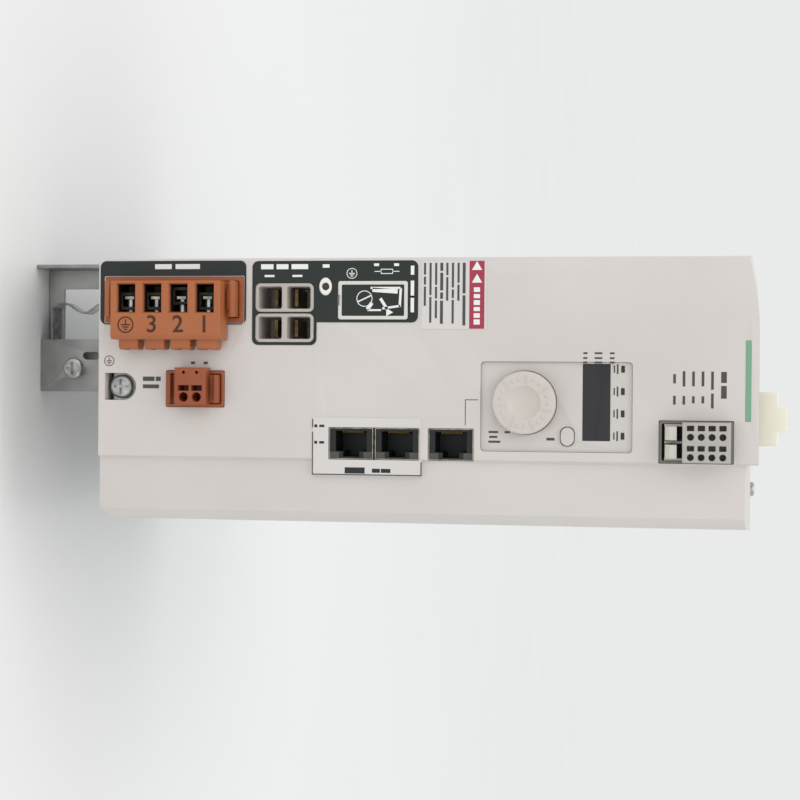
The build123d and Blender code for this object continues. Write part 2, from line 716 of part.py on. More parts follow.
def make_jack_bodies():
    bodies = []
    for z in jacks_z:
        y = (jack_front + 0.4, socket_rear)
        body = block(span(jack_x, jack_size_x - 2 * jack_shell), y, span(z, jack_size_z - 2 * jack_shell))
        hole = (y[0], y[0] + cavity_depth)
        body -= block((jack_x + cavity_x[0], jack_x + cavity_x[1]), hole, span(z, cavity_z))
        body -= block((jack_x + cavity_x[1], jack_x + latch_x), hole, span(z, latch_z))
        for lamp_x_span, lamp_z_span in jack_lamps_at(z):
            body -= block(lamp_x_span, (y[0], y[0] + jack_lamp_depth), lamp_z_span)
        bodies.append(body)
    return group(bodies)


def make_jack_contacts():
    x = (jack_x + cavity_x[0], jack_x + cavity_x[0] + 0.7)
    y = (jack_front + 4, jack_front + 0.4 + cavity_depth)
    return group([block(x, y, span(z + (i - 3.5) * contact_pitch, 0.5)) for z in jacks_z for i in range(8)])


def make_jack_lamps():
    y = (jack_front + 0.4, jack_front + 0.4 + jack_lamp_depth)
    return group([block(x_span, y, z_span) for z in jacks_z for x_span, z_span in jack_lamps_at(z)])


# ------------------------------------------------------------------ operating panel
hmi_radius = 1.5
hmi_recess = 1.2
hmi_rim = 1.2                           # the hood's ledge that the panel rests on
hmi_thickness = 1.6
hmi_seat = face + hmi_recess + hmi_thickness
hmi_face = face + hmi_recess
dial_x = hmi_x - 1.5
dial_z = hmi_z - 11.6
dial_radius = 11.7
dial_height = 5.0                       # above the panel
dial_ribs = 18
dish_radius = 6.6
dish_depth = 1.8
dial_gap = 0.25
dial_travel = 0.8
display_x = hmi_x - 1.8
display_z = hmi_z + 14.8
display_size_x = 28.4
display_size_z = 10.2
esc_x = hmi_x + 10.9
esc_z = hmi_z + 4.2
esc_size_x = 6.8
esc_size_z = 4.9
esc_height = 0.9
esc_travel = 0.5
lights_z = hmi_z + 24.4
light_pitch = 8.2
lights_x = [display_x + (i - 1.5) * light_pitch for i in range(4)]
shaft_radius = 3.0
barrel_radius = 5.0
running = 0.05


def make_panel():
    y = (hmi_face, hmi_seat)
    body = plate(hmi_x, hmi_z, hmi_size_x - 0.2, hmi_size_z - 0.2, hmi_radius, y)
    body -= disc(dial_x, dial_z, dial_radius + dial_gap, y)
    body -= plate(display_x, display_z, display_size_x, display_size_z, 0.3, y)
    body -= plate(esc_x, esc_z, esc_size_x + 2 * dial_gap, esc_size_z + 2 * dial_gap, esc_size_z / 2, y)
    for x in lights_x:
        body -= plate(x, lights_z, 2.5, 1.3, 0.2, y)
    return body


def make_display_window():
    return plate(display_x, display_z, display_size_x - 0.1, display_size_z - 0.1, 0.3,
                 (hmi_face - 0.1, hmi_seat))


def make_display_module():
    """The LED digit block behind the window, on the control board."""
    body = block(span(display_x, display_size_x - 1), (hmi_seat, hmi_seat + 8), span(display_z, 12.0))
    body += block(span(display_x, display_size_x - 3), (hmi_seat + 8, control_y[0]), span(display_z, 1.0))
    return body


def make_status_lights():
    return group([plate(x, lights_z, 2.4, 1.2, 0.2, (hmi_face - 0.15, control_y[0])) for x in lights_x])


def make_dial():
    """The selector dial: a dished cap with finger ribs, on a sleeve that turns on the plunger."""
    front = hmi_face - dial_height
    cap = along_y(Circle(dial_radius), (front, hmi_face + 2.2))
    cap = fillet(cap.edges().sort_by(Axis.Y)[0], 1.0)
    for i in range(dial_ribs):
        groove = Box(dial_radius - dish_radius, 1.0, 0.7)
        groove = Pos((dial_radius + dish_radius) / 2 + 0.4, front, 0) * groove
        cap -= Rot(0, 360 * (i + 0.5) / dial_ribs, 0) * groove
    ball = (dish_radius ** 2 + dish_depth ** 2) / (2 * dish_depth)
    cap -= Pos(0, front + dish_depth - ball, 0) * Sphere(ball)
    cap -= along_y(Circle(barrel_radius + 0.6), (hmi_face + 0.4, hmi_face + 2.2))
    cap += along_y(Circle(shaft_radius + 1.4), (hmi_face - 0.6, hmi_face + 3.4))
    cap -= along_y(Circle(shaft_radius + running), (hmi_face - 1.6, hmi_face + 3.4))
    return Pos(dial_x, 0, dial_z) * cap


def make_plunger():
    """The dial's spindle, which slides in the encoder's barrel when the dial is pressed."""
    body = disc(dial_x, dial_z, shaft_radius, (hmi_face - 1.5, hmi_face + 7.0))
    return body + disc(dial_x, dial_z, 2.0, (hmi_face + 7.0, control_y[0] - 1.2))


def make_encoder():
    """Encoder barrel on the control board."""
    start = hmi_face + 4.6
    body = disc(dial_x, dial_z, barrel_radius, (start, start + 6))
    body += plate(dial_x, dial_z, 13.0, 13.0, 0.5, (start + 6, control_y[0]))
    body -= disc(dial_x, dial_z, shaft_radius + running, (start, hmi_face + 7 + dial_travel + 0.4))
    return body - disc(dial_x, dial_z, 2.0 + running, (start, control_y[0]))


def make_esc_key():
    body = plate(esc_x, esc_z, esc_size_x, esc_size_z, esc_size_z / 2 - 0.01,
                 (hmi_face - esc_height, hmi_seat + 1))
    body = fillet(body.faces().sort_by(Axis.Y)[0].edges(), 0.4)
    body += disc(esc_x, esc_z, 1.6, (hmi_seat + 1, control_y[0] - 5.0))
    return body


def make_esc_switch():
    y = (control_y[0] - 4.4, control_y[0])
    return block(span(esc_x, 6.0), y, span(esc_z, 6.0))


# ------------------------------------------------------------------ signal socket and plug
io_columns = 4
io_pitch = 3.81
io_row_pitch = 7.3
io_wall = 0.9
io_plug_x = 2 * io_row_pitch
io_plug_z = io_columns * io_pitch + 1.9
io_lever_room = 7.6
io_socket_x = io_plug_x + 0.8
io_socket_z = io_plug_z + io_lever_room + 2 * io_wall
io_x = band_x - 0.5 - io_socket_x / 2
io_z = top - 9.1 - io_socket_z / 2
io_plug_z_at = io_z + io_socket_z / 2 - io_wall - plug_fit - io_plug_z / 2
io_out = 8.0
io_nose = 9.0
io_step = face + 13.6                   # rear of the socket's full-height part
io_rows_x = (io_x - io_row_pitch / 2, io_x + io_row_pitch / 2)
io_hole = 1.25                          # wire hole radius
io_slot = (2.0, 2.6)                    # spring slot
io_hole_shift = 1.6                     # from a row's middle to its holes, and the other way to its slots
rib = 0.8
rib_inset = 0.7
lever_thickness = 4.2
lever_gap = 2.0                         # between the plug's block and its levers
lever_x = (io_x - (io_plug_x / 2 - rib_inset) / 2, io_x + (io_plug_x / 2 - rib_inset) / 2)
lever_width = io_plug_x / 2 - rib_inset - 1.5 * rib - 2 * clearance
lever_z = io_plug_z_at - io_plug_z / 2 - lever_gap - lever_thickness / 2
lever_pivot_y = face + 3.0
lever_pin = 0.7


def make_io_socket():
    """A shroud whose rear steps down, to pass below the supply socket on its way to the board."""
    front = face - 0.4
    body = plate(io_x, io_z, io_socket_x, io_socket_z, 0.8, (front, io_step))
    body -= plate(io_x, io_z, io_socket_x - 2 * io_wall, io_socket_z - 2 * io_wall, 0.5,
                  (front, io_step - 2.0))
    low = io_z - io_socket_z / 2
    return body + block(span(io_x, io_socket_x), (io_step, socket_rear), (low, supply_bottom - 0.5))


def make_io_pins():
    y = (face + 5.0, io_step - 2.0)
    return [block(span(x, 0.8), y, span(z, 0.8)) for x in io_rows_x for z in io_columns_z()]


def io_columns_z():
    return [io_plug_z_at + (i - (io_columns - 1) / 2) * io_pitch for i in range(io_columns)]


def make_io_plug():
    """A spring-clamp plug: over each wire hole lies the slot that opens its spring."""
    y = (face - io_out, face + io_nose)
    z = span(io_plug_z_at, io_plug_z)
    body = block(span(io_x, io_plug_x - 2 * rib_inset), y, z)
    body += block(span(io_x, io_plug_x), (y[0], face - 0.8), z)
    ears = [e for e in body.edges().filter_by(Axis.Z) if e.center().Y < y[0] + 0.1]
    body = chamfer(ears, 0.5)
    low = lever_z - lever_thickness / 2 - 0.2
    reach = io_plug_x / 2 - rib_inset
    for x in (-reach, -rib / 2, reach - rib):
        body += block((io_x + x, io_x + x + rib), (face - 2.0, face + 5.0), (low, z[0]))
    body += Pos(0, lever_pivot_y, lever_z) * along_x(Circle(lever_pin), span(io_x, 2 * reach))
    for row in io_rows_x:
        for z_at in io_columns_z():
            body -= disc(row + io_hole_shift, z_at, io_hole, (y[0], y[0] + 8))
            body -= plate(row - io_hole_shift, z_at, io_slot[0], io_slot[1], 0.3, (y[0], y[0] + 7))
            body -= block(span(row, 1.8), (face + 2.5, y[1]), span(z_at, 1.8))
    return body


def make_io_lever(x):
    """A release lever that swings on the plug's pin."""
    wide = span(x, lever_width)
    y = (face - 6.6, face + 4.6)
    body = block(wide, y, span(lever_z, lever_thickness))
    nose = [e for e in body.edges().filter_by(Axis.X) if e.center().Y < face - 6 and e.center().Z < lever_z]
    body = chamfer(nose, 1.6)
    return body - Pos(0, lever_pivot_y, lever_z) * along_x(Circle(lever_pin + running), wide)


# ------------------------------------------------------------------ supply socket and plug, in the hood's top
supply_poles = 4
supply_pitch = 4.4
supply_row_pitch = 6.8
supply_socket_x = supply_poles * supply_pitch + 3.1
supply_socket_y = 17.0
supply_wall = 1.2
supply_x = front_right - 40.6
supply_y = face + 23.0
supply_nose = 9.0
supply_out = 7.4
supply_latch_x = 9.6
supply_latch = 3.3
supply_bottom = top - 17.0
supply_rim = top + 0.4


def make_supply_socket():
    z = (supply_bottom, supply_rim)
    body = along_z(Pos(supply_x, supply_y) * RectangleRounded(supply_socket_x, supply_socket_y, 0.8), z)
    pocket = RectangleRounded(supply_socket_x - 2 * supply_wall, supply_socket_y - 2 * supply_wall, 0.5)
    return body - along_z(Pos(supply_x, supply_y) * pocket, (z[0] + 3.0, z[1]))


def supply_poles_at():
    half = supply_row_pitch / 2
    return [(supply_x + (i - (supply_poles - 1) / 2) * supply_pitch, supply_y + k * half)
            for i in range(supply_poles) for k in (-1, 1)]


def make_supply_pins():
    z = (supply_bottom + 3.0, supply_rim - 5.0)
    return [along_z(Pos(x, y) * Rectangle(0.9, 0.9), z) for x, y in supply_poles_at()]


def make_supply_plug():
    size_x, size_y = [s - 2 * supply_wall - 2 * plug_fit for s in (supply_socket_x, supply_socket_y)]
    z = (supply_rim - supply_nose, supply_rim + 0.2)
    body = along_z(Pos(supply_x, supply_y) * Rectangle(size_x, size_y), z)
    outline = RectangleRounded(supply_socket_x - 0.6, supply_socket_y - 0.6, 1.0)
    collar = along_z(Pos(supply_x, supply_y) * outline,
                     (supply_rim + 0.2, supply_rim + supply_out))
    body += fillet(collar.faces().sort_by(Axis.Z)[-1].edges(), 0.5)
    latch = block(span(supply_x, supply_latch_x), (supply_y - supply_socket_y / 2 + 0.3, supply_y - 4.6),
                  (supply_rim + supply_out - 1, supply_rim + supply_out + supply_latch))
    body += fillet(latch.edges().filter_by(Axis.Z), 0.8)
    for x, y in supply_poles_at():
        body -= along_z(Pos(x, y) * Rectangle(1.8, 1.8), (z[0], supply_rim - 3.0))
        if y > supply_y:
            body -= along_z(Pos(x, y + 0.6) * Circle(1.4), (supply_rim, supply_rim + supply_out))
    return body


# ------------------------------------------------------------------ earth screw
earth_x = -0.7
earth_z = foot + 7.9
earth_radius = 5.2
earth_flat = 5.4                        # from the screw down to the opening's flat side
earth_arc = 1.9                         # from the screw up to the middle of its round side
earth_plane = face + 7.0                # front of the earth tab
earth_tab_depth = 3.0
earth_strap = 16.0


def earth_recess(margin):
    """The D-shaped opening that gives a ring terminal its room."""
    low, high = earth_z - earth_flat - margin, earth_z + earth_arc
    profile = Pos(earth_x, high) * Circle(earth_radius + margin)
    profile += Pos(earth_x, (low + high) / 2) * Rectangle(2 * (earth_radius + margin), high - low)
    return along_y(profile, (face - 1, hood_inner + 0.5))


def make_earth_tab():
    """Plated steel strap: its upright is tapped M5 behind the opening, its tail is welded to the floor."""
    x = span(earth_x, earth_strap)
    over_lip = foot + sheet + clearance + 2.3
    body = block(x, (earth_plane, earth_plane + earth_tab_depth), (over_lip, earth_z + 7))
    body += block(x, (earth_plane, hood_rear + tongue + 12), (over_lip, over_lip + 1.5))
    body += block(x, (hood_rear + tongue + 2, hood_rear + tongue + 12), (foot + sheet, over_lip))
    return body - disc(earth_x, earth_z, 2.5, (earth_plane, earth_plane + earth_tab_depth))


def make_earth_screw():
    """An M5 screw with its captive washer."""
    washer = disc(earth_x, earth_z, 5.0, (earth_plane - 1.0, earth_plane))
    washer -= disc(earth_x, earth_z, 2.65, (earth_plane - 1.0, earth_plane))
    screw = Pos(earth_x, earth_plane - 1.0, earth_z) * TO_FRONT * pan_screw(4.6, 3.0, 2.49, 8.0, 1.1)
    return group([screw, washer])


# ------------------------------------------------------------------ cable shield bracket under the case
shield_sheet = 1.5
shield_drop = 46.0                      # below the case
shield_y = hood_rear + 15.0
shield_left = left + 2.2
shield_right = 1.5
shield_tab = 22.0                       # tab that takes the clamp screw
shield_window = (shield_left + 9.5, shield_right - shield_tab)
shield_foot = foot - shield_drop
shield_flange = 18.0
shield_screws_x = (shield_left + 12.0, shield_right - 10.0)
shield_screw_y = shield_y + shield_flange * 0.55
shield_leg = 14.0
shield_step = 9.0                       # the clamp's tab stands this far in front of the window
slot_x = shield_right - 15.1
slot_z = foot - 23.8
clamp_screw_x = shield_right - 9.8
clamp_screw_z = foot - 31.0
clamp_bore = 2.0


def make_shield_bracket():
    """A bent steel bracket: a flange under the case, a hanging plate with a cable window, and a left leg."""
    hang = (shield_foot, foot)
    body = block((shield_left, shield_right), (shield_y, shield_y + shield_sheet), hang)
    body += block((shield_left, shield_right), (shield_y, shield_y + shield_flange),
                  (foot - shield_sheet, foot))
    body += block((shield_left, shield_left + shield_sheet),
                  (shield_y - shield_leg, shield_y + shield_sheet), hang)
    body -= block(shield_window, (shield_y - 1, shield_y + shield_sheet), (shield_foot + 7, foot - 6))
    tab_x, tab_y = (shield_window[1], shield_right), shield_y - shield_step
    body += block(tab_x, (tab_y, shield_y), (shield_foot, shield_foot + shield_sheet))
    body += block(tab_x, (tab_y, tab_y + shield_sheet), (shield_foot, foot - 2))
    body -= disc(clamp_screw_x, clamp_screw_z, clamp_bore, (tab_y, tab_y + shield_sheet))
    body -= plate(slot_x, slot_z, 3.2, 7.0, 1.5, (tab_y, tab_y + shield_sheet))
    for x in shield_screws_x:
        body -= along_z(Pos(x, shield_screw_y) * Circle(1.5 + clearance), (foot - shield_sheet, foot))
    return body


spring_foot = foot - 13.0               # the spring's end nearest the case
spring_arm = 13.0
spring_rise = 1.8
spring_width = 10.0
spring_strip = 0.6


def make_clamp_spring():
    """A wavy leaf spring that presses a cable's bare screen against the bracket."""
    z = [shield_foot + 5.0 + i * (spring_foot - shield_foot - 5.0) / 4 for i in range(5)]
    x, y = shield_window[1] - spring_arm, shield_y - clearance
    wave = Spline((x, z[0]), (x - spring_rise, z[1]), (x + spring_rise, z[2]), (x - spring_rise, z[3]),
                  (x, z[4]))
    leaf = extrude(Plane.XZ.offset(-y) * trace(wave, spring_strip), amount=spring_width)
    for end in (z[0] + 0.4, z[4] - 0.4):
        leaf += block((x, shield_window[1]), (y - spring_width, y), span(end, spring_strip))
    return leaf


def make_clamp_screw_m4():
    head = Pos(clamp_screw_x, shield_y - shield_step, clamp_screw_z) * TO_FRONT
    return head * pan_screw(4.4, 2.8, clamp_bore - 0.01, 7.0, 1.0)


# ------------------------------------------------------------------ labels and inlays
strip_x = front_right - 54.5
strip_z = top - 3.9
strip_length = 29.5
strip_width = 2.0
strip_depth = 0.5
label_radius = 2.4
bus_label_top = cover_z + cover_size_z / 2 + 3.9
notice_length = 24.3


def film(x, z, radius=label_radius):
    return plate(sum(x) / 2, sum(z) / 2, x[1] - x[0], z[1] - z[0], radius, (face - print_thickness, face))


def make_dark_labels():
    """Dark films behind the power sockets: one round the motor socket, an L-shaped one round the others."""
    motor = film((front_left + 1.4, motor_x + motor_socket_x / 2 + 0.9), motor_label_z)
    motor -= face_window(motor_x, motor_z, motor_socket_x + 1.0, motor_socket_z + 1.0)
    bus = film((front_left + 1.6, cover_x + cover_size_x / 2 + 1.1), (bus_label_foot, bus_label_top))
    bus += film((front_left + 1.6, bus_rows_x[1] + bus_size_x / 2 + 1.1),
                (bus_label_foot, bus_z + bus_size_z / 2 + 1.1))
    for x in bus_rows_x:
        bus -= face_window(x, bus_z, bus_size_x + 2 * clearance, bus_size_z + 2 * clearance, bus_radius)
    bus -= face_window(cover_x, cover_z, cover_size_x + 2 * clearance, cover_size_z + 2 * clearance, 1)
    bus -= along_y(Pos(lamp_x, lamp_z) * Ellipse(lamp_size_x / 2 + 0.1, lamp_size_z / 2 + 0.1),
                   (face - 1, face + 1))
    return group([motor, bus])


def make_pale_labels():
    """The notice label on the left, and the field round the two lower jacks."""
    notice = film((front_left + 1.8, front_left + 27.2),
                  (bus_label_top + 1.4, bus_label_top + 1.4 + notice_length), 0.4)
    label = film((jack_x - jack_size_x / 2 - 3.8, port_tab_x - 0.4),
                 (port_tab_z[0] + 0.4, port_tab_z[1] - 0.4), 0.4)
    for x, z, size_z in port_windows[:1]:
        label -= face_window(x, z, jack_size_x + 2 * clearance, size_z + 2 * clearance, 0.4)
    return group([notice, label])


def make_accent_strip():
    return plate(strip_x, strip_z, strip_length - 0.1, strip_width - 0.1, 0.3,
                 (face - 0.1, face + strip_depth))


# ------------------------------------------------------------------ the parts, one file each
parts = {
    "rear_plate": make_rear_plate(),
    "heat_sink": make_heat_sink(),
    "fan_frame": make_fan_frame(),
    "fan_rotor": make_fan_rotor(),
    "sheet_case": make_case(),
    "front_hood": make_hood(),
    "case_screws": make_case_screws(),
    "mains_socket": make_mains_socket(),
    "encoder_jack": make_encoder_jack(),
    "power_pins": group(make_motor_pins() + make_mains_pins() + make_resistor_pins()),
    "signal_pins": group(make_brake_pins() + make_io_pins() + make_supply_pins()),
    "front_board": make_front_board(),
    "power_board": make_power_board(),
    "board_spacers": make_spacers(),
    "bus_capacitors": make_capacitors(),
    "power_module": make_power_module(),
    "motor_socket": make_motor_socket(),
    "motor_plug": make_motor_plug(),
    "plug_contacts": make_plug_contacts(),
    "brake_socket": make_brake_socket(),
    "brake_plug": make_brake_plug(),
    "bus_sockets": make_bus_sockets(),
    "bus_blades": make_bus_blades(),
    "charge_lamp": make_charge_lamp(),
    "resistor_cover": make_resistor_cover(),
    "resistor_socket": make_resistor_socket(),
    "jack_shells": make_jack_shells(),
    "jack_bodies": make_jack_bodies(),
    "jack_contacts": make_jack_contacts(),
    "jack_lamps": make_jack_lamps(),
    "operating_panel": make_panel(),
    "display_window": make_display_window(),
    "display_module": make_display_module(),
    "status_lights": make_status_lights(),
    "selector_dial": make_dial(),
    "dial_plunger": make_plunger(),
    "dial_encoder": make_encoder(),
    "escape_key": make_esc_key(),
    "signal_socket": make_io_socket(),
    "signal_plug": make_io_plug(),
    "signal_lever_left": make_io_lever(lever_x[0]),
    "signal_lever_right": make_io_lever(lever_x[1]),
    "supply_socket": make_supply_socket(),
    "supply_plug": make_supply_plug(),
    "earth_tab": make_earth_tab(),
    "earth_screw": make_earth_screw(),
    "shield_bracket": make_shield_bracket(),
    "clamp_spring": make_clamp_spring(),
    "shield_clamp_screw": make_clamp_screw_m4(),
    "dark_labels": make_dark_labels(),
    "pale_labels": make_pale_labels(),
    "accent_strip": make_accent_strip(),
}
for index, z_at in enumerate(motor_poles_z()):
    parts[f"clamp_screw_{index + 1}"] = make_clamp_screw(z_at)
    parts[f"clamp_yoke_{index + 1}"] = make_yoke(index, z_at)

os.makedirs("parts", exist_ok=True)
for name, shape in parts.items():
    export_step(shape, f"parts/{name}.step")
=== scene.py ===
from math import cos, pi, radians, sin

import bpy
from mathutils import Matrix, Vector


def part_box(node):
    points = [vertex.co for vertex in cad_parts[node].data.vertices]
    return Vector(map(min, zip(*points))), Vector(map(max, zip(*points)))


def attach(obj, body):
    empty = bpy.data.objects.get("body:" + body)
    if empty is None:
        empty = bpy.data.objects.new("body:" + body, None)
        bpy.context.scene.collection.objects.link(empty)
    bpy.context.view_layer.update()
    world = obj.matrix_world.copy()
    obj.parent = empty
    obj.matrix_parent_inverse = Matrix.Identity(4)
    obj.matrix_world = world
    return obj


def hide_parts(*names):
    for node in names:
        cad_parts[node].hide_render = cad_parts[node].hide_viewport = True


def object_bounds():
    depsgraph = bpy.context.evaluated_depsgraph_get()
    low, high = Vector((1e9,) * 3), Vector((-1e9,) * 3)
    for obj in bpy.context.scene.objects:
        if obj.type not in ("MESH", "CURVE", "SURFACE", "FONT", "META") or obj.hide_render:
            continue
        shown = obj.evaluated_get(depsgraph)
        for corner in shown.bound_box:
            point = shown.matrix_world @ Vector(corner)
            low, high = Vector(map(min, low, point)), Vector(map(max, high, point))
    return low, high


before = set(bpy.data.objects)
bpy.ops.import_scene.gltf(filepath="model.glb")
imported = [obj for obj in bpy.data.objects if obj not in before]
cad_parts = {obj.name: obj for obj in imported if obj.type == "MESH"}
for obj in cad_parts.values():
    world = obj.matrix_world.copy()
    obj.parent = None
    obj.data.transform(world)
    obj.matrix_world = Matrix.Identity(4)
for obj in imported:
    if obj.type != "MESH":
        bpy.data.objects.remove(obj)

cad_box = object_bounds()
mm = 0.001


# ---------------------------------------------------------------- studio
# A pale, matt floor under the drive, broad soft lights above and in front, and the camera, which stands
# before the hood and is turned on its side, so the drive's top points to the right of the frame.
def linear(colour):
    """An sRGB hex colour as the linear one that the shaders work in."""
    parts = [int(colour[i:i + 2], 16) / 255 for i in (1, 3, 5)]
    return [c / 12.92 if c <= 0.04045 else ((c + 0.055) / 1.055) ** 2.4 for c in parts] + [1.0]


def add(finish, kind, inputs=None, **settings):
    """Adds one node to a finish: settings are its own options, inputs are values or sockets that feed it."""
    made = finish.node_tree.nodes.new("ShaderNode" + kind)
    for name, value in settings.items():
        setattr(made, name, value)
    for name, value in (inputs or {}).items():
        if isinstance(value, bpy.types.NodeSocket):
            finish.node_tree.links.new(value, made.inputs[name])
        else:
            made.inputs[name].default_value = value
    return made


def begin(name, colour, roughness, metallic=0.0, ior=1.5):
    """A new finish with its plain values set on the surface shader itself."""
    finish = bpy.data.materials.new(name)
    finish.use_nodes = True
    skin = finish.node_tree.nodes["Principled BSDF"]
    skin.inputs["Base Color"].default_value = linear(colour)
    skin.inputs["Roughness"].default_value = roughness
    skin.inputs["Metallic"].default_value = metallic
    skin.inputs["IOR"].default_value = ior
    return finish, skin


def feed(finish, source, skin, socket):
    finish.node_tree.links.new(source, skin.inputs[socket])


def deselect():
    if bpy.context.mode != "OBJECT":
        bpy.ops.object.mode_set(mode="OBJECT")
    bpy.ops.object.select_all(action="DESELECT")


floor_z = cad_box[0][2] - 0.2 * mm
deselect()
bpy.ops.mesh.primitive_plane_add(size=60, location=(0, 0, floor_z))
floor = bpy.context.object
floor.name = "studio_floor"
painted_board, board_skin = begin("painted_board_floor", "#f4f5f4", 0.75)
floor_place = add(painted_board, "TexCoord").outputs["Object"]
cloud = add(painted_board, "TexNoise", {"Vector": floor_place, "Scale": 3.0})
tint = add(painted_board, "ValToRGB", {"Fac": cloud.outputs["Fac"]})
tint.color_ramp.elements[0].color = linear("#f2f3f2")
tint.color_ramp.elements[1].color = linear("#f7f8f7")
feed(painted_board, tint.outputs["Color"], board_skin, "Base Color")
floor.data.materials.append(painted_board)

sky_strength = 0.92
world = bpy.data.worlds.new("studio")
bpy.context.scene.world = world
world.use_nodes = True
world.node_tree.nodes["Background"].inputs["Color"].default_value = linear("#fbfcfd")
world.node_tree.nodes["Background"].inputs["Strength"].default_value = sky_strength
# what lies beyond the floor looks as pale as the far floor itself
beyond = world.node_tree.nodes.new("ShaderNodeBackground")
beyond.inputs["Color"].default_value = linear("#f2f4f4")
beyond.inputs["Strength"].default_value = sky_strength
seen = world.node_tree.nodes.new("ShaderNodeLightPath")
either = world.node_tree.nodes.new("ShaderNodeMixShader")
world.node_tree.links.new(seen.outputs["Is Camera Ray"], either.inputs[0])
world.node_tree.links.new(world.node_tree.nodes["Background"].outputs[0], either.inputs[1])
world.node_tree.links.new(beyond.outputs[0], either.inputs[2])
world.node_tree.links.new(either.outputs[0], world.node_tree.nodes["World Output"].inputs["Surface"])


def soft_light(name, place, aim, size, power, colour):
    light = bpy.data.lights.new(name, "AREA")
    light.shape = "RECTANGLE"
    light.size, light.size_y = size
    light.energy = power
    light.color = linear(colour)[:3]
    lamp = bpy.data.objects.new(name, light)
    bpy.context.scene.collection.objects.link(lamp)
    lamp.location = place
    lamp.rotation_euler = (Vector(aim) - Vector(place)).to_track_quat("-Z", "Y").to_euler()


soft_light("softbox_above", (-0.25, -0.75, 1.15), (0, -0.2, 0.0), (0.9, 0.7), 3.0, "#fffaf2")
soft_light("softbox_front", (-0.9, -1.2, 0.15), (0, -0.2, 0.0), (0.8, 0.8), 1.0, "#f4f8ff")

camera_data = bpy.data.cameras.new("camera")
camera = bpy.data.objects.new("camera", camera_data)
bpy.context.scene.collection.objects.link(camera)
camera_data.sensor_width = 36.0
camera_data.lens = 73.05
camera_data.clip_start = 0.02
camera_place = Vector((0.0, -0.837, 0.086))
camera_aim = Vector((0.0036, -0.237, -0.0070))
camera_up = Vector((-1.0, 0.0046, -0.0086))
forward = (camera_aim - camera_place).normalized()
camera_right = forward.cross(camera_up).normalized()
camera_top = camera_right.cross(forward)
camera.matrix_world = Matrix((
    (camera_right.x, camera_top.x, -forward.x, camera_place.x),
    (camera_right.y, camera_top.y, -forward.y, camera_place.y),
    (camera_right.z, camera_top.z, -forward.z, camera_place.z),
    (0, 0, 0, 1)))
bpy.context.scene.camera = camera
bpy.context.scene.view_settings.view_transform = "Standard"


# ---------------------------------------------------------------- rear plate and sheet case
# Cut and folded from hot-dip galvanised steel sheet, 1.2 and 2.5 mm thick, left bare. The zinc's faint
# crystals and the mill's rolling direction give the sheet its cloudy, soft sheen.
def galvanised(name, colour, dark, roughness):
    """Galvanised sheet: zinc crystals as patches of slightly different gloss and grey."""
    finish, skin = begin(name, colour, roughness, metallic=0.9)
    place = add(finish, "TexCoord").outputs["Object"]
    crystal = add(finish, "TexVoronoi", {"Vector": place, "Scale": 1000 / 9.0, "Randomness": 1.0})
    cloud = add(finish, "TexNoise", {"Vector": place, "Scale": 1000 / 30.0, "Detail": 4.0})
    blend = add(finish, "Mix", {0: 0.45, 2: cloud.outputs["Fac"], 3: crystal.outputs["Distance"]},
                data_type="FLOAT")
    shade = add(finish, "ValToRGB", {"Fac": blend.outputs[0]})
    shade.color_ramp.elements[0].position, shade.color_ramp.elements[1].position = 0.25, 0.75
    shade.color_ramp.elements[0].color = linear(dark)
    shade.color_ramp.elements[1].color = linear(colour)
    gloss = add(finish, "MapRange", {"Value": blend.outputs[0],
                                     "To Min": roughness - 0.08, "To Max": roughness + 0.1})
    # rolling marks, really about 0.2 mm apart, drawn at 1 mm so that they show
    stretch = add(finish, "Mapping", {"Vector": place, "Scale": (1.0, 1.0, 0.04)})
    rolled = add(finish, "TexNoise", {"Vector": stretch.outputs["Vector"], "Scale": 1000 / 1.0,
                                      "Detail": 1.0})
    bump = add(finish, "Bump", {"Height": rolled.outputs["Fac"], "Strength": 0.25, "Distance": 0.04 * mm})
    feed(finish, shade.outputs["Color"], skin, "Base Color")
    feed(finish, gloss.outputs["Result"], skin, "Roughness")
    feed(finish, bump.outputs["Normal"], skin, "Normal")
    return finish


sharp_edge = radians(28)        # an edge that turns by more than this gets rounded


def paint(node, finish):
    """Gives a CAD part its finish."""
    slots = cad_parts[node].data.materials
    slots.clear()
    slots.append(finish)


def rounded_copy(node, body, finish, edge, segments=2):
    """A copy of a CAD part, triangles joined up and sharp edges broken, which stands for the part."""
    deselect()
    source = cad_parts[node]
    source.select_set(True)
    bpy.context.view_layer.objects.active = source
    bpy.ops.object.duplicate()
    piece = bpy.context.object
    piece.name = node + "_finished"
    for key in list(piece.keys()):
        del piece[key]
    piece.parent = None
    piece.matrix_world = Matrix.Identity(4)
    bpy.ops.object.mode_set(mode="EDIT")
    bpy.ops.mesh.select_all(action="SELECT")
    bpy.ops.mesh.remove_doubles(threshold=2e-6)
    bpy.ops.mesh.dissolve_limited(angle_limit=radians(0.6))
    bpy.ops.object.mode_set(mode="OBJECT")
    rounding = piece.modifiers.new("broken_edges", "BEVEL")
    rounding.width = edge
    rounding.segments = segments
    rounding.limit_method = "ANGLE"
    rounding.angle_limit = sharp_edge
    rounding.use_clamp_overlap = True
    rounding.harden_normals = False
    bpy.ops.object.modifier_apply(modifier="broken_edges")
    bpy.ops.object.shade_smooth_by_angle(angle=radians(35))
    piece.data.materials.clear()
    piece.data.materials.append(finish)
    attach(piece, body)
    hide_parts(node)
    return piece


galvanised_sheet = galvanised("galvanised_steel_sheet", "#a9aaa8", "#8d8e8d", 0.40)
rounded_copy("rear_plate", "drive", galvanised_sheet, 0.3 * mm)
rounded_copy("sheet_case", "drive", galvanised_sheet, 0.25 * mm, segments=1)


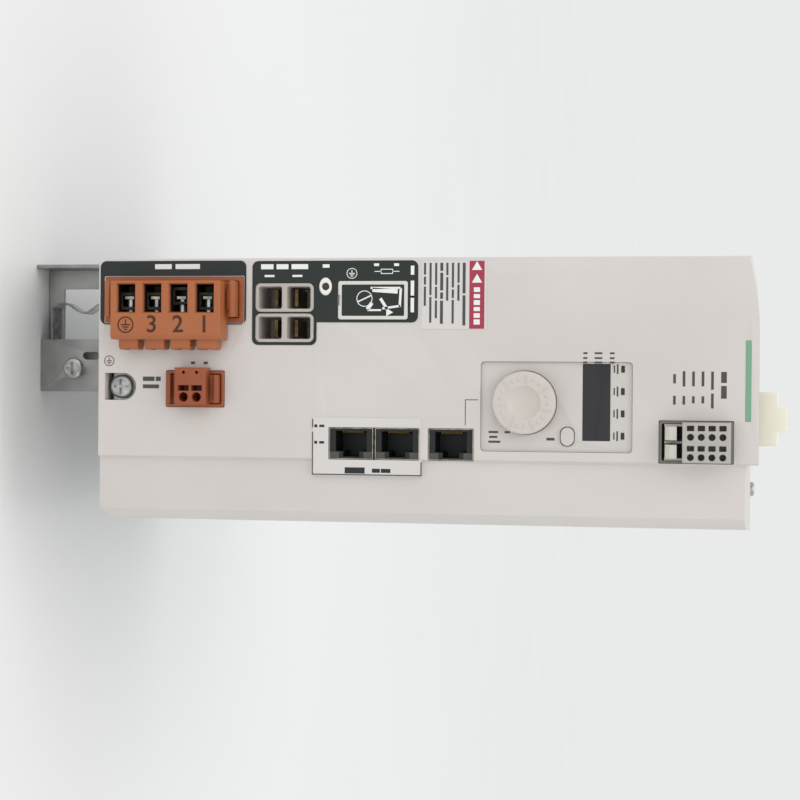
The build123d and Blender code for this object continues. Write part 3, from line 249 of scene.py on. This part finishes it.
# ---------------------------------------------------------------- heat sink
# One aluminium extrusion, sawn to length and left as it came from the press, with die lines along Z.
extruded_aluminium, aluminium_skin = begin("extruded_aluminium", "#b9bab9", 0.36, metallic=1.0)
sink_place = add(extruded_aluminium, "TexCoord").outputs["Object"]
along_press = add(extruded_aluminium, "Mapping", {"Vector": sink_place, "Scale": (1.0, 1.0, 0.02)})
die_lines = add(extruded_aluminium, "TexNoise", {"Vector": along_press.outputs["Vector"],
                                                 "Scale": 1000 / 0.8})
press_bump = add(extruded_aluminium, "Bump", {"Height": die_lines.outputs["Fac"], "Strength": 0.4,
                                              "Distance": 0.05 * mm})
feed(extruded_aluminium, press_bump.outputs["Normal"], aluminium_skin, "Normal")
press_shade = add(extruded_aluminium, "ValToRGB", {"Fac": die_lines.outputs["Fac"]})
press_shade.color_ramp.elements[0].color = linear("#a3a4a4")
press_shade.color_ramp.elements[1].color = linear("#c3c4c3")
feed(extruded_aluminium, press_shade.outputs["Color"], aluminium_skin, "Base Color")
paint("heat_sink", extruded_aluminium)


# ---------------------------------------------------------------- fan
# A square axial fan of glass-filled black polymer: the frame hangs on four arms, and the rotor turns in it.
def moulded(name, colour, roughness, grain=0.9, depth=0.02, drift=0.06, ior=1.5, second=None):
    """A moulded plastic: the tool's grain as a fine bump, and a slow drift of tone and gloss across the part.
    grain is the grain's size and depth its height, in mm; second is the colour that the tone drifts to."""
    finish, skin = begin(name, colour, roughness, ior=ior)
    place = add(finish, "TexCoord").outputs["Object"]
    fine = add(finish, "TexNoise", {"Vector": place, "Scale": 1000 / grain, "Detail": 2.0, "Roughness": 0.6})
    slow = add(finish, "TexNoise", {"Vector": place, "Scale": 1000 / 45.0, "Detail": 3.0})
    tone = add(finish, "ValToRGB", {"Fac": slow.outputs["Fac"]})
    tone.color_ramp.elements[0].position, tone.color_ramp.elements[1].position = 0.3, 0.7
    tone.color_ramp.elements[1].color = linear(colour)
    base = linear(colour)
    darker = [c * (1 - drift) for c in base[:3]] + [1.0]
    tone.color_ramp.elements[0].color = linear(second) if second else darker
    gloss = add(finish, "MapRange", {"Value": slow.outputs["Fac"],
                                     "To Min": roughness - 0.05, "To Max": roughness + 0.07})
    bump = add(finish, "Bump", {"Height": fine.outputs["Fac"], "Strength": 0.5, "Distance": depth * mm})
    feed(finish, tone.outputs["Color"], skin, "Base Color")
    feed(finish, gloss.outputs["Result"], skin, "Roughness")
    feed(finish, bump.outputs["Normal"], skin, "Normal")
    return finish


# glass fibre near the surface leaves the black slightly grey and uneven
glass_filled_black = moulded("glass_filled_black_polymer", "#242526", 0.48, grain=0.8, drift=0.25)
for part in ("fan_frame", "fan_rotor", "mains_socket", "encoder_jack"):
    paint(part, glass_filled_black)


# ---------------------------------------------------------------- boards and what stands on them
# Glass-epoxy laminate under green solder mask, aluminium cans in dark shrink sleeve, a moulded power module,
# machined brass spacers. They show only through the case's slots and the sockets.
solder_mask = moulded("green_solder_mask", "#1f5a36", 0.28, grain=1.2, drift=0.3)
shrink_sleeve = moulded("dark_shrink_sleeve", "#20242c", 0.25, grain=1.5)
moulded_epoxy = moulded("black_moulded_epoxy", "#17181a", 0.55)
brass, brass_skin = begin("machined_brass", "#b59a55", 0.30, metallic=1.0)
lathe = add(brass, "TexNoise", {"Vector": add(brass, "TexCoord").outputs["Object"], "Scale": 1000 / 0.7})
lathe_bump = add(brass, "Bump", {"Height": lathe.outputs["Fac"], "Strength": 0.3, "Distance": 0.02 * mm})
feed(brass, lathe_bump.outputs["Normal"], brass_skin, "Normal")
paint("front_board", solder_mask)
paint("power_board", solder_mask)
paint("bus_capacitors", shrink_sleeve)
paint("power_module", moulded_epoxy)
paint("display_module", moulded_epoxy)
paint("board_spacers", brass)


# ---------------------------------------------------------------- small plated parts
# Screws, clamps and pins are steel or brass, barrel plated with bright zinc or tin. The plating is drawn as
# one metal that dulls in soft patches, with no difference between edges and hollows.
def plated(name, colour, dark, roughness):
    """Barrel plating: a bright metal that dulls in soft patches."""
    finish, skin = begin(name, colour, roughness, metallic=1.0)
    place = add(finish, "TexCoord").outputs["Object"]
    patch = add(finish, "TexNoise", {"Vector": place, "Scale": 1000 / 2.5, "Detail": 3.0})
    shade = add(finish, "ValToRGB", {"Fac": patch.outputs["Fac"]})
    shade.color_ramp.elements[0].position, shade.color_ramp.elements[1].position = 0.35, 0.65
    shade.color_ramp.elements[0].color = linear(dark)
    shade.color_ramp.elements[1].color = linear(colour)
    gloss = add(finish, "MapRange", {"Value": patch.outputs["Fac"],
                                     "To Min": roughness - 0.06, "To Max": roughness + 0.12})
    feed(finish, shade.outputs["Color"], skin, "Base Color")
    feed(finish, gloss.outputs["Result"], skin, "Roughness")
    return finish


bright_zinc = plated("bright_zinc_plate", "#c9cac8", "#9b9c9a", 0.26)
tin = plated("tin_plate", "#c0bbaa", "#8d8878", 0.32)
tarnished_bronze = plated("tarnished_bronze", "#7a6545", "#4b3d28", 0.42)
gold_flash = plated("gold_flash", "#8f7436", "#6b5527", 0.3)
# the yokes are plated like the screws; this darker copy of the same plate is chosen as painted shade for
# their deep wire chambers
painted_shade_zinc = plated("painted_shade_zinc_plate", "#3f3b38", "#262321", 0.4)
for part in ("case_screws", "earth_screw", "earth_tab", "dial_plunger", "dial_encoder", "shield_clamp_screw"):
    paint(part, bright_zinc)
for part in ("power_pins", "signal_pins", "plug_contacts"):
    paint(part, tin)
for pole in (1, 2, 3, 4):
    paint(f"clamp_screw_{pole}", bright_zinc)
    paint(f"clamp_yoke_{pole}", painted_shade_zinc)


# ---------------------------------------------------------------- hood
# One large injection moulding in off-white polycarbonate blend, spark textured outside, with crisp but
# slightly rounded edges. It slides a lip into the case and is held by four screws.
off_white = moulded("spark_textured_off_white", "#d8d2cf", 0.46, grain=1.1, depth=0.03, second="#d2ccc7")
rounded_copy("front_hood", "drive", off_white, 0.35 * mm, segments=3)


# ---------------------------------------------------------------- printed marks
# Screen printing and film: plain bars stand for every word, so nothing here can be read. Only a few
# technical signs that any such device carries are drawn: the earth sign, numbers, triangles and arrows.
print_height = 0.05 * mm


def open_marks(name):
    """Starts a flat printed piece and leaves it in edit mode, with nothing in it yet."""
    deselect()
    bpy.ops.mesh.primitive_plane_add(size=1 * mm)
    bpy.context.object.name = name
    bpy.ops.object.mode_set(mode="EDIT")
    bpy.ops.mesh.select_all(action="SELECT")
    bpy.ops.mesh.delete(type="VERT")


def bar(x, z, across, along, y, turn=0.0):
    """One printed bar: its centre in X and Z, its size along X and Z, in mm."""
    bpy.ops.mesh.primitive_cube_add(size=1, location=(x * mm, y * mm - print_height / 2, z * mm),
                                    rotation=(0, radians(turn), 0),
                                    scale=(across * mm, print_height, along * mm))


def ring(x, z, radius, line, y):
    """A printed circle."""
    bpy.ops.mesh.primitive_torus_add(location=(x * mm, y * mm, z * mm), rotation=(pi / 2, 0, 0),
                                     major_radius=radius * mm, minor_radius=line / 2 * mm,
                                     major_segments=32, minor_segments=6)


def triangle(x, z, size, y, turn=0.0):
    """A printed triangle that points along -X before it is turned."""
    bpy.ops.mesh.primitive_cylinder_add(vertices=3, radius=size / 1.732 * mm, depth=print_height,
                                        location=(x * mm, y * mm - print_height / 2, z * mm),
                                        rotation=(pi / 2, 0, 0))
    bpy.ops.transform.rotate(value=radians(90 + turn), orient_axis="Y",
                             center_override=(x * mm, y * mm, z * mm))


def earth_sign(x, z, radius, line, y):
    """The earth sign in its circle; its stem points along -X."""
    ring(x, z, radius, line, y)
    bar(x - radius * 0.35, z, radius * 0.7, line, y)
    for step, length in ((0.0, 1.2), (0.3, 0.8), (0.6, 0.4)):
        bar(x + step * radius, z, line, radius * length, y)


def words(x, z, lengths, across, y, gap=0.9):
    """A line of type along Z, as one bar for each word."""
    start = z
    for length in lengths:
        bar(x, start + length / 2, across, length, y)
        start += length + gap


def close_marks(ink, body="drive"):
    bpy.ops.object.mode_set(mode="OBJECT")
    piece = bpy.context.object
    bpy.ops.object.transform_apply(location=True, rotation=True, scale=True)
    piece.data.materials.append(ink)
    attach(piece, body)
    return piece


# silk-screen ink lies slightly proud, dry and even
dark_ink = moulded("dark_grey_ink", "#4a4a48", 0.6, grain=0.7, depth=0.01)
black_ink = moulded("black_ink", "#1d1e20", 0.5, grain=0.7, depth=0.01)
white_ink = moulded("white_ink", "#f1f2ee", 0.5, grain=0.7, depth=0.01)
dark_film = moulded("dark_green_printed_film", "#16231e", 0.42, grain=1.4, depth=0.01, second="#131b1b")
pale_film = moulded("pale_printed_film", "#dbd6d3", 0.42, grain=1.4, depth=0.01)
paint("dark_labels", dark_film)
paint("pale_labels", pale_film)

film_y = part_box("dark_labels")[0].y / mm            # front of the films
face_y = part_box("dark_labels")[1].y / mm            # front of the hood

open_marks("label_lines_white")
words(-46.6, -102.2, (6.6, 9.6), 1.9, film_y, gap=1.5)                   # over the motor socket
words(-46.4, -60.6, (4.8, 4.6, 6.4), 1.9, film_y, gap=1.2)                # over the bus sockets
for z in (-59.2, -48.4):
    words(-42.9, z, (3.8,), 0.8, film_y)
words(-46.6, -36.8, (2.6,), 1.3, film_y)
earth_sign(-43.8, -25.6, 1.9, 0.3, film_y)
for z in (-17.2, -9.6):
    words(-47.0, z, (1.9,), 1.0, film_y)
bar(-44.5, -12.3, 0.3, 9.4, film_y)
bar(-44.5, -12.3, 1.9, 4.6, film_y)
for i, length in enumerate((3.4, 6.4, 6.2)):
    bar(-46.6 + i * 5.6 + length / 2, -2.6, length, 1.3, film_y)
close_marks(white_ink)

open_marks("label_field_in_resistor_sign")
bar(-44.5, -12.3, 1.3, 4.0, film_y - 0.03)
close_marks(dark_film)

# the notice label: a red band with two blank triangles, and rows of grey bars for its text
red_ink = moulded("red_ink", "#a8324c", 0.45, grain=0.7, depth=0.01)
notice_high = 24.8
band_middle = notice_high - 3.2
open_marks("notice_band")
bar(-35.7, band_middle, 25.2, 5.6, film_y)
close_marks(red_ink)
open_marks("notice_signs")
triangle(-46.0, band_middle, 3.8, film_y - 0.05)
triangle(-41.3, band_middle, 3.8, film_y - 0.05)
for step, length in enumerate((1.7, 1.5, 1.8, 1.5, 1.7, 1.9)):
    bar(-37.6 + step * 2.4, band_middle, length, 2.3, film_y - 0.05)
close_marks(white_ink)
open_marks("notice_text")
for row, lengths in enumerate(((11.4, 11.2), (7.4, 6.0), (9.2, 3.2, 8.8), (4.6, 8.8), (3.0, 6.6, 2.4, 8.6),
                               (8.2, 4.4, 6.6), (12.0, 9.6), (4.4, 3.0, 7.2))):
    start = -47.6
    for length in lengths:
        bar(start + length / 2, notice_high - 8.0 - row * 2.1, length, 1.1 if row in (0, 4) else 0.8, film_y)
        start += length + 0.7
close_marks(dark_ink)

# marks printed straight on the hood
open_marks("hood_marks_dark")
earth_sign(-10.5, -120.3, 1.9, 0.3, face_y)
words(-3.7, -106.8, (4.6, 2.0), 1.7, face_y, gap=0.5)
words(-0.8, -106.8, (6.4,), 1.5, face_y)
words(-9.9, -87.8, (1.6, 1.6), 1.0, face_y, gap=3.4)
bar(-5.6, 111.9, 4.0, 2.0, face_y)
bar(-0.2, 111.9, 4.6, 2.0, face_y)
for x, across, z in ((-4.4, 6.6, 107.8), (3.0, 5.4, 107.8), (-5.0, 5.4, 104.4), (2.6, 2.6, 104.4),
                     (-5.0, 5.4, 101.0), (2.6, 2.6, 101.0), (-5.0, 5.6, 97.6), (2.8, 3.2, 97.6),
                     (-5.0, 3.4, 94.2), (2.8, 3.2, 94.2)):
    bar(x, z, across, 0.95, face_y)
for x in (-14.2, -12.4, -10.8):
    for z, along in ((61.8, 1.5), (66.6, 2.8), (71.6, 1.7)):
        bar(x, z, 0.7, along, face_y)
bar(8.0, 17.6, 9.6, 0.28, face_y)
bar(3.3, 19.9, 0.28, 4.8, face_y)
close_marks(dark_ink)

open_marks("port_label_marks")
for x in (13.6, 19.8):
    bar(x, -39.0, 1.1, 1.1, film_y)
    bar(x, -36.7, 0.9, 1.9, film_y)
words(30.2, -27.8, (7.6,), 2.3, film_y)
words(30.2, -17.4, (3.0, 3.6), 1.5, film_y, gap=0.4)
close_marks(black_ink)
open_marks("port_label_outline")
for x, z, across, along in ((12.6, -40.2, 3.2, 0.4), (23.9, -40.2, 16.2, 0.4), (31.8, -19.4, 0.4, 41.6),
                            (29.4, 1.2, 5.2, 0.4)):
    bar(x, z, across, along, film_y)
close_marks(dark_ink)


# ---------------------------------------------------------------- accent strip
# A slim moulded inlay in green, pressed into a groove of the hood.
green_inlay = moulded("green_moulded_inlay", "#7fb08f", 0.4, grain=1.0, second="#74a685")
paint("accent_strip", green_inlay)


# ---------------------------------------------------------------- motor socket and plug
# Glass-filled nylon in warning orange, gate marks and a satin skin. The plug pulls out of the socket; in each
# wire entry a zinc-plated yoke is drawn by its screw.
orange_nylon = moulded("orange_glass_filled_nylon", "#b0683c", 0.42, grain=0.9, depth=0.03, second="#a35a30")
dark_orange_nylon = moulded("orange_nylon_socket", "#a85c34", 0.45, grain=0.9, depth=0.03, second="#975029")
rounded_copy("motor_plug", "motor_plug", orange_nylon, 0.28 * mm)
rounded_copy("motor_socket", "drive", dark_orange_nylon, 0.2 * mm)

plug_low, plug_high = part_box("motor_plug")
plug_y = plug_low.y / mm
pole_pitch = 10.16
plug_z = (plug_low.z + plug_high.z) / 2 / mm


def paint_shade_within(finish, middle, half, y_from, colour, fade=2.0):
    """Paints shade into a finish inside chambers: past y_from, and within half of the middle in X and Z, all
    in mm.
    The painted shade deepens over a depth of fade."""
    skin = finish.node_tree.nodes["Principled BSDF"]
    before = skin.inputs["Base Color"].links[0].from_socket
    parts = add(finish, "SeparateXYZ", {"Vector": add(finish, "TexCoord").outputs["Object"]})
    in_x = add(finish, "Math", {0: parts.outputs["X"], 1: middle[0] * mm, 2: half[0] * mm},
               operation="COMPARE")
    in_z = add(finish, "Math", {0: parts.outputs["Z"], 1: middle[1] * mm, 2: half[1] * mm},
               operation="COMPARE")
    deep = add(finish, "MapRange", {"Value": parts.outputs["Y"], "From Min": y_from * mm,
                                    "From Max": (y_from + fade) * mm})
    across = add(finish, "Math", {0: in_x.outputs[0], 1: in_z.outputs[0]}, operation="MULTIPLY")
    inside = add(finish, "Math", {0: across.outputs[0], 1: deep.outputs["Result"]}, operation="MULTIPLY")
    mixed = add(finish, "Mix", {0: inside.outputs[0], 6: before, 7: linear(colour)}, data_type="RGBA")
    feed(finish, mixed.outputs[2], skin, "Base Color")


# the wire chambers are the same nylon, darkened with painted shade to the depth of tone that they show
paint_shade_within(orange_nylon, (-34.0, plug_z), (5.4, 20.0), plug_y + 0.3, "#241009")
poles = [plug_z + (i - 1.5) * pole_pitch for i in range(4)]
marks_x = -23.9

# pole marks pressed dark into the plug's front: the earth sign and the pole numbers
brown_ink = moulded("brown_hot_stamp", "#44200f", 0.5, grain=0.7, depth=0.01)
open_marks("plug_earth_sign")
earth_sign(marks_x, poles[0], 2.9, 0.5, plug_y)
close_marks(brown_ink, "motor_plug")
for number, z in zip("321", poles[1:]):
    deselect()
    bpy.ops.object.text_add(location=(0, 0, 0))
    figure = bpy.context.object
    figure.name = "plug_number_" + number
    figure.data.body = number
    figure.data.size = 9.0 * mm
    figure.data.extrude = 0.02 * mm
    figure.data.offset = 0.12 * mm
    figure.data.align_x, figure.data.align_y = "CENTER", "CENTER"
    bpy.ops.object.convert(target="MESH")
    figure = bpy.context.object
    # its own up points along -X, its reading direction along +Z
    figure.matrix_world = Matrix(((0, -1, 0, marks_x * mm), (0, 0, -1, plug_y * mm - 0.02 * mm),
                                  (1, 0, 0, z * mm), (0, 0, 0, 1)))
    bpy.ops.object.transform_apply(location=True, rotation=True, scale=True)
    figure.data.materials.append(brown_ink)
    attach(figure, "motor_plug")


# ---------------------------------------------------------------- holding brake socket and plug
# A small two-pole spring plug in a darker, redder orange nylon.
red_orange_nylon = moulded("red_orange_nylon", "#9e5230", 0.42, grain=0.9, depth=0.03, second="#8f4727")
rounded_copy("brake_plug", "brake_plug", red_orange_nylon, 0.2 * mm)
rounded_copy("brake_socket", "drive", dark_orange_nylon, 0.18 * mm)


# ---------------------------------------------------------------- DC bus sockets
# White nylon shrouds with rounded corners; tarnished bronze blades stand in the dark chambers.
white_nylon = moulded("white_nylon", "#bdb8b1", 0.4, grain=0.9, second="#b1aca4")
rounded_copy("bus_sockets", "drive", white_nylon, 0.3 * mm)
paint("bus_blades", tarnished_bronze)


# ---------------------------------------------------------------- bus charge lamp
# A white diffusing light pipe with a dark eye.
white_pipe = moulded("white_diffusing_acrylic", "#f1efe9", 0.25, grain=1.2, depth=0.005, ior=1.49)
rounded_copy("charge_lamp", "drive", white_pipe, 0.35 * mm)
lamp_low, lamp_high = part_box("charge_lamp")
lamp_x, lamp_z = (lamp_low.x + lamp_high.x) / 2, (lamp_low.z + lamp_high.z) / 2
eye_place = (lamp_x, lamp_low.y + 1.2 * mm, lamp_z)
deselect()
bpy.ops.mesh.primitive_uv_sphere_add(segments=32, ring_count=16, radius=1.35 * mm, location=eye_place)
bpy.ops.object.mode_set(mode="EDIT")
bpy.ops.mesh.select_all(action="SELECT")
bpy.ops.transform.resize(value=(1, 0.6, 1), center_override=eye_place)
bpy.ops.object.mode_set(mode="OBJECT")
eye = bpy.context.object
eye.name = "charge_lamp_eye"
bpy.ops.object.transform_apply(location=True, rotation=True, scale=True)
bpy.ops.object.shade_smooth()
eye.data.materials.append(moulded("dark_lamp_lens", "#3a3230", 0.15, grain=1.5, depth=0.004))
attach(eye, "drive")


# ---------------------------------------------------------------- braking resistor cover
# A snap-in cover with a pale frame round a dark printed field; the white sign shows a flap and an arrow.
cover_frame = moulded("pale_cover_plastic", "#dcdad4", 0.42, grain=0.9)
rounded_copy("resistor_cover", "resistor_cover", cover_frame, 0.2 * mm)
paint("resistor_socket", moulded("grey_nylon", "#8d8d88", 0.5))
cover_low, cover_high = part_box("resistor_cover")
cover_y = cover_low.y / mm + 0.3
cover_x = (cover_low.x + cover_high.x) / 2 / mm
cover_z = (cover_low.z + cover_high.z) / 2 / mm
open_marks("cover_field")
bar(cover_x, cover_z, 12.4, 24.0, cover_y)
close_marks(dark_film, "resistor_cover")
open_marks("cover_sign")
sign_y = cover_y - 0.05
ring(cover_x - 0.6, cover_z - 3.2, 2.9, 0.35, sign_y)
bar(cover_x - 0.6, cover_z - 3.2, 0.5, 5.4, sign_y, turn=-25)
for x, z, across, along, turn in ((-4.6, 4.8, 0.8, 11.4, 0), (-3.6, 4.6, 1.6, 9.6, 4),
                                  (-1.0, 10.4, 7.0, 0.9, 3), (2.6, 7.0, 0.8, 6.8, -8),
                                  (3.7, 0.6, 0.7, 5.2, 0), (2.2, -1.2, 3.0, 1.4, 35),
                                  (1.4, 4.2, 5.0, 1.1, -32)):
    bar(cover_x + x, cover_z + z, across, along, sign_y, turn=turn)
triangle(cover_x + 4.5, cover_z + 6.0, 3.0, sign_y, turn=150)
close_marks(white_ink, "resistor_cover")


# ---------------------------------------------------------------- network jacks
# Black moulded inserts in tinned shells, eight gold-flashed wires in each, two lamps beside the latch.
paint("jack_bodies", moulded("black_jack_polymer", "#101113", 0.45, drift=0.2))
paint("jack_shells", tin)
paint("jack_contacts", gold_flash)
paint("jack_lamps", moulded("smoky_lamp_window", "#4c4e4a", 0.3))


# ---------------------------------------------------------------- operating panel
# A separate moulding let into the hood, with the display window, the dial, the escape key and four lamps.
panel_plastic = moulded("panel_off_white", "#d3cecb", 0.44, grain=1.1, depth=0.03, second="#cdc8c3")
rounded_copy("operating_panel", "drive", panel_plastic, 0.2 * mm)
smoked_window = moulded("smoked_acrylic_window", "#2c2a2f", 0.12, grain=3.0, depth=0.002, ior=1.49,
                        second="#232227")
rounded_copy("display_window", "drive", smoked_window, 0.15 * mm)
paint("status_lights", moulded("dark_light_pipe", "#2b2a29", 0.25))
ivory = moulded("ivory_key_plastic", "#d5cdc8", 0.40, grain=1.0, depth=0.015, second="#cfc6bf")
rounded_copy("escape_key", "escape_key", moulded("key_plastic", "#d3cecb", 0.42), 0.2 * mm)

panel_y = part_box("operating_panel")[0].y / mm
open_marks("panel_marks")
for x in (-8.4, -0.2, 8.0, 16.2):
    bar(x, 73.6, 3.6, 0.6, panel_y)
    bar(x, 72.4, 2.6, 0.5, panel_y)
bar(17.6, 49.2, 1.0, 3.0, panel_y)
for x, z, across, along in ((15.2, 28.0, 0.8, 3.6), (17.0, 28.0, 0.8, 3.0), (18.8, 28.4, 0.8, 4.4),
                            (15.2, 33.2, 0.8, 2.0)):
    bar(x, z, across, along, panel_y)
close_marks(dark_ink)

# the dial: a dished cap with small domes round its rim, in sectors parted by radial ridges
dial_low, dial_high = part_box("selector_dial")
dial_x, dial_z = (dial_low.x + dial_high.x) / 2, (dial_low.z + dial_high.z) / 2
dial_front = dial_low.y
dial_radius = (dial_high.x - dial_low.x) / 2
deselect()
bpy.ops.mesh.primitive_circle_add(vertices=144, radius=dial_radius - 0.9 * mm, fill_type="NGON",
                                  location=(dial_x, dial_front, dial_z), rotation=(pi / 2, 0, 0))
dial = bpy.context.object
dial.name = "selector_dial_cap"
bpy.ops.object.transform_apply(location=True, rotation=True, scale=True)
bpy.ops.object.mode_set(mode="EDIT")
bpy.ops.mesh.select_all(action="SELECT")
bpy.ops.mesh.inset(thickness=4.6 * mm)
for depth, thickness in ((0.35, 0.25), (0.45, 0.6), (0.45, 1.0), (0.3, 1.2), (0.15, 1.4)):
    bpy.ops.mesh.inset(thickness=thickness * mm)
    bpy.ops.transform.translate(value=(0, depth * mm, 0))
bpy.ops.mesh.select_all(action="DESELECT")
bpy.ops.mesh.select_mode(type="EDGE")
bpy.ops.mesh.select_non_manifold()
for grow, back in ((0.45, 0.1), (0.3, 0.3), (0.15, 0.6), (0.0, 1.6), (0.0, 4.3)):
    bpy.ops.mesh.extrude_region_move(TRANSFORM_OT_translate={"value": (0, back * mm, 0)})
    if grow:
        share = 1 + grow * mm / (dial_radius - 0.5 * mm)
        bpy.ops.transform.resize(value=(share, 1, share), center_override=(dial_x, 0, dial_z))
bpy.ops.mesh.edge_face_add()
bpy.ops.mesh.select_all(action="SELECT")
bpy.ops.mesh.normals_make_consistent(inside=False)
bpy.ops.object.mode_set(mode="OBJECT")
bpy.ops.object.shade_smooth_by_angle(angle=radians(40))
dial.data.materials.append(ivory)
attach(dial, "selector_dial")
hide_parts("selector_dial")

# one ridge and two domes to a sector, standing a little proud of the rim
deselect()
bpy.ops.mesh.primitive_plane_add(size=1 * mm)
grip = bpy.context.object
grip.name = "selector_dial_grip"
bpy.ops.object.mode_set(mode="EDIT")
bpy.ops.mesh.select_all(action="SELECT")
bpy.ops.mesh.delete(type="VERT")
rim_middle = 8.85 * mm
sectors = 7
first_ridge = 20                # degrees
for sector in range(sectors):
    heading = radians(first_ridge + sector * 360 / sectors)
    x, z = dial_x + rim_middle * cos(heading), dial_z + rim_middle * sin(heading)
    bpy.ops.mesh.primitive_cube_add(size=1, location=(x, dial_front, z), rotation=(0, -heading, 0),
                                    scale=(4.0 * mm, 0.5 * mm, 0.45 * mm))
    for off in (17, 34):
        heading = radians(first_ridge + sector * 360 / sectors + off)
        x, z = dial_x + rim_middle * cos(heading), dial_z + rim_middle * sin(heading)
        bpy.ops.mesh.primitive_uv_sphere_add(segments=16, ring_count=8, radius=0.75 * mm,
                                             location=(x, dial_front + 0.25 * mm, z))
bpy.ops.object.mode_set(mode="OBJECT")
bpy.ops.object.transform_apply(location=True, rotation=True, scale=True)
bpy.ops.object.shade_smooth_by_angle(angle=radians(40))
grip.data.materials.append(ivory)
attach(grip, "selector_dial")


# ---------------------------------------------------------------- signal socket, plug and levers
# A grey nylon header; the light grey plug has a spring slot over each wire hole, and two pale levers.
grey_header = moulded("grey_nylon_header", "#7f7b75", 0.5, second="#726e68")
rounded_copy("signal_socket", "drive", grey_header, 0.15 * mm)
light_grey_nylon = moulded("light_grey_nylon", "#bbb6b1", 0.42, second="#b0aba5")
rounded_copy("signal_plug", "signal_plug", light_grey_nylon, 0.15 * mm)
pale_nylon = moulded("pale_lever_nylon", "#d2cec2", 0.42)
rounded_copy("signal_lever_left", "signal_lever_left", pale_nylon, 0.3 * mm)
rounded_copy("signal_lever_right", "signal_lever_right", pale_nylon, 0.3 * mm)


# ---------------------------------------------------------------- supply socket and plug
# Undyed nylon, cream and slightly translucent, so light sinks a little way into it.
natural_nylon = moulded("natural_nylon", "#eeecdc", 0.38, second="#e8e6d4", ior=1.53)
natural_skin = natural_nylon.node_tree.nodes["Principled BSDF"]
natural_skin.inputs["Subsurface Weight"].default_value = 0.35
natural_skin.inputs["Subsurface Radius"].default_value = (1.0, 0.95, 0.8)
natural_skin.inputs["Subsurface Scale"].default_value = 1.5 * mm
rounded_copy("supply_plug", "supply_plug", natural_nylon, 0.25 * mm)
rounded_copy("supply_socket", "drive", grey_header, 0.2 * mm)


# ---------------------------------------------------------------- shield bracket
# A bent bracket of galvanised sheet under the case, with a wavy spring that clamps a cable's bare screen.
rounded_copy("shield_bracket", "drive", galvanised_sheet, 0.25 * mm)
spring_steel = plated("bright_spring_steel", "#a7a8a6", "#7c7d7c", 0.3)
rounded_copy("clamp_spring", "drive", spring_steel, 0.1 * mm, segments=1)
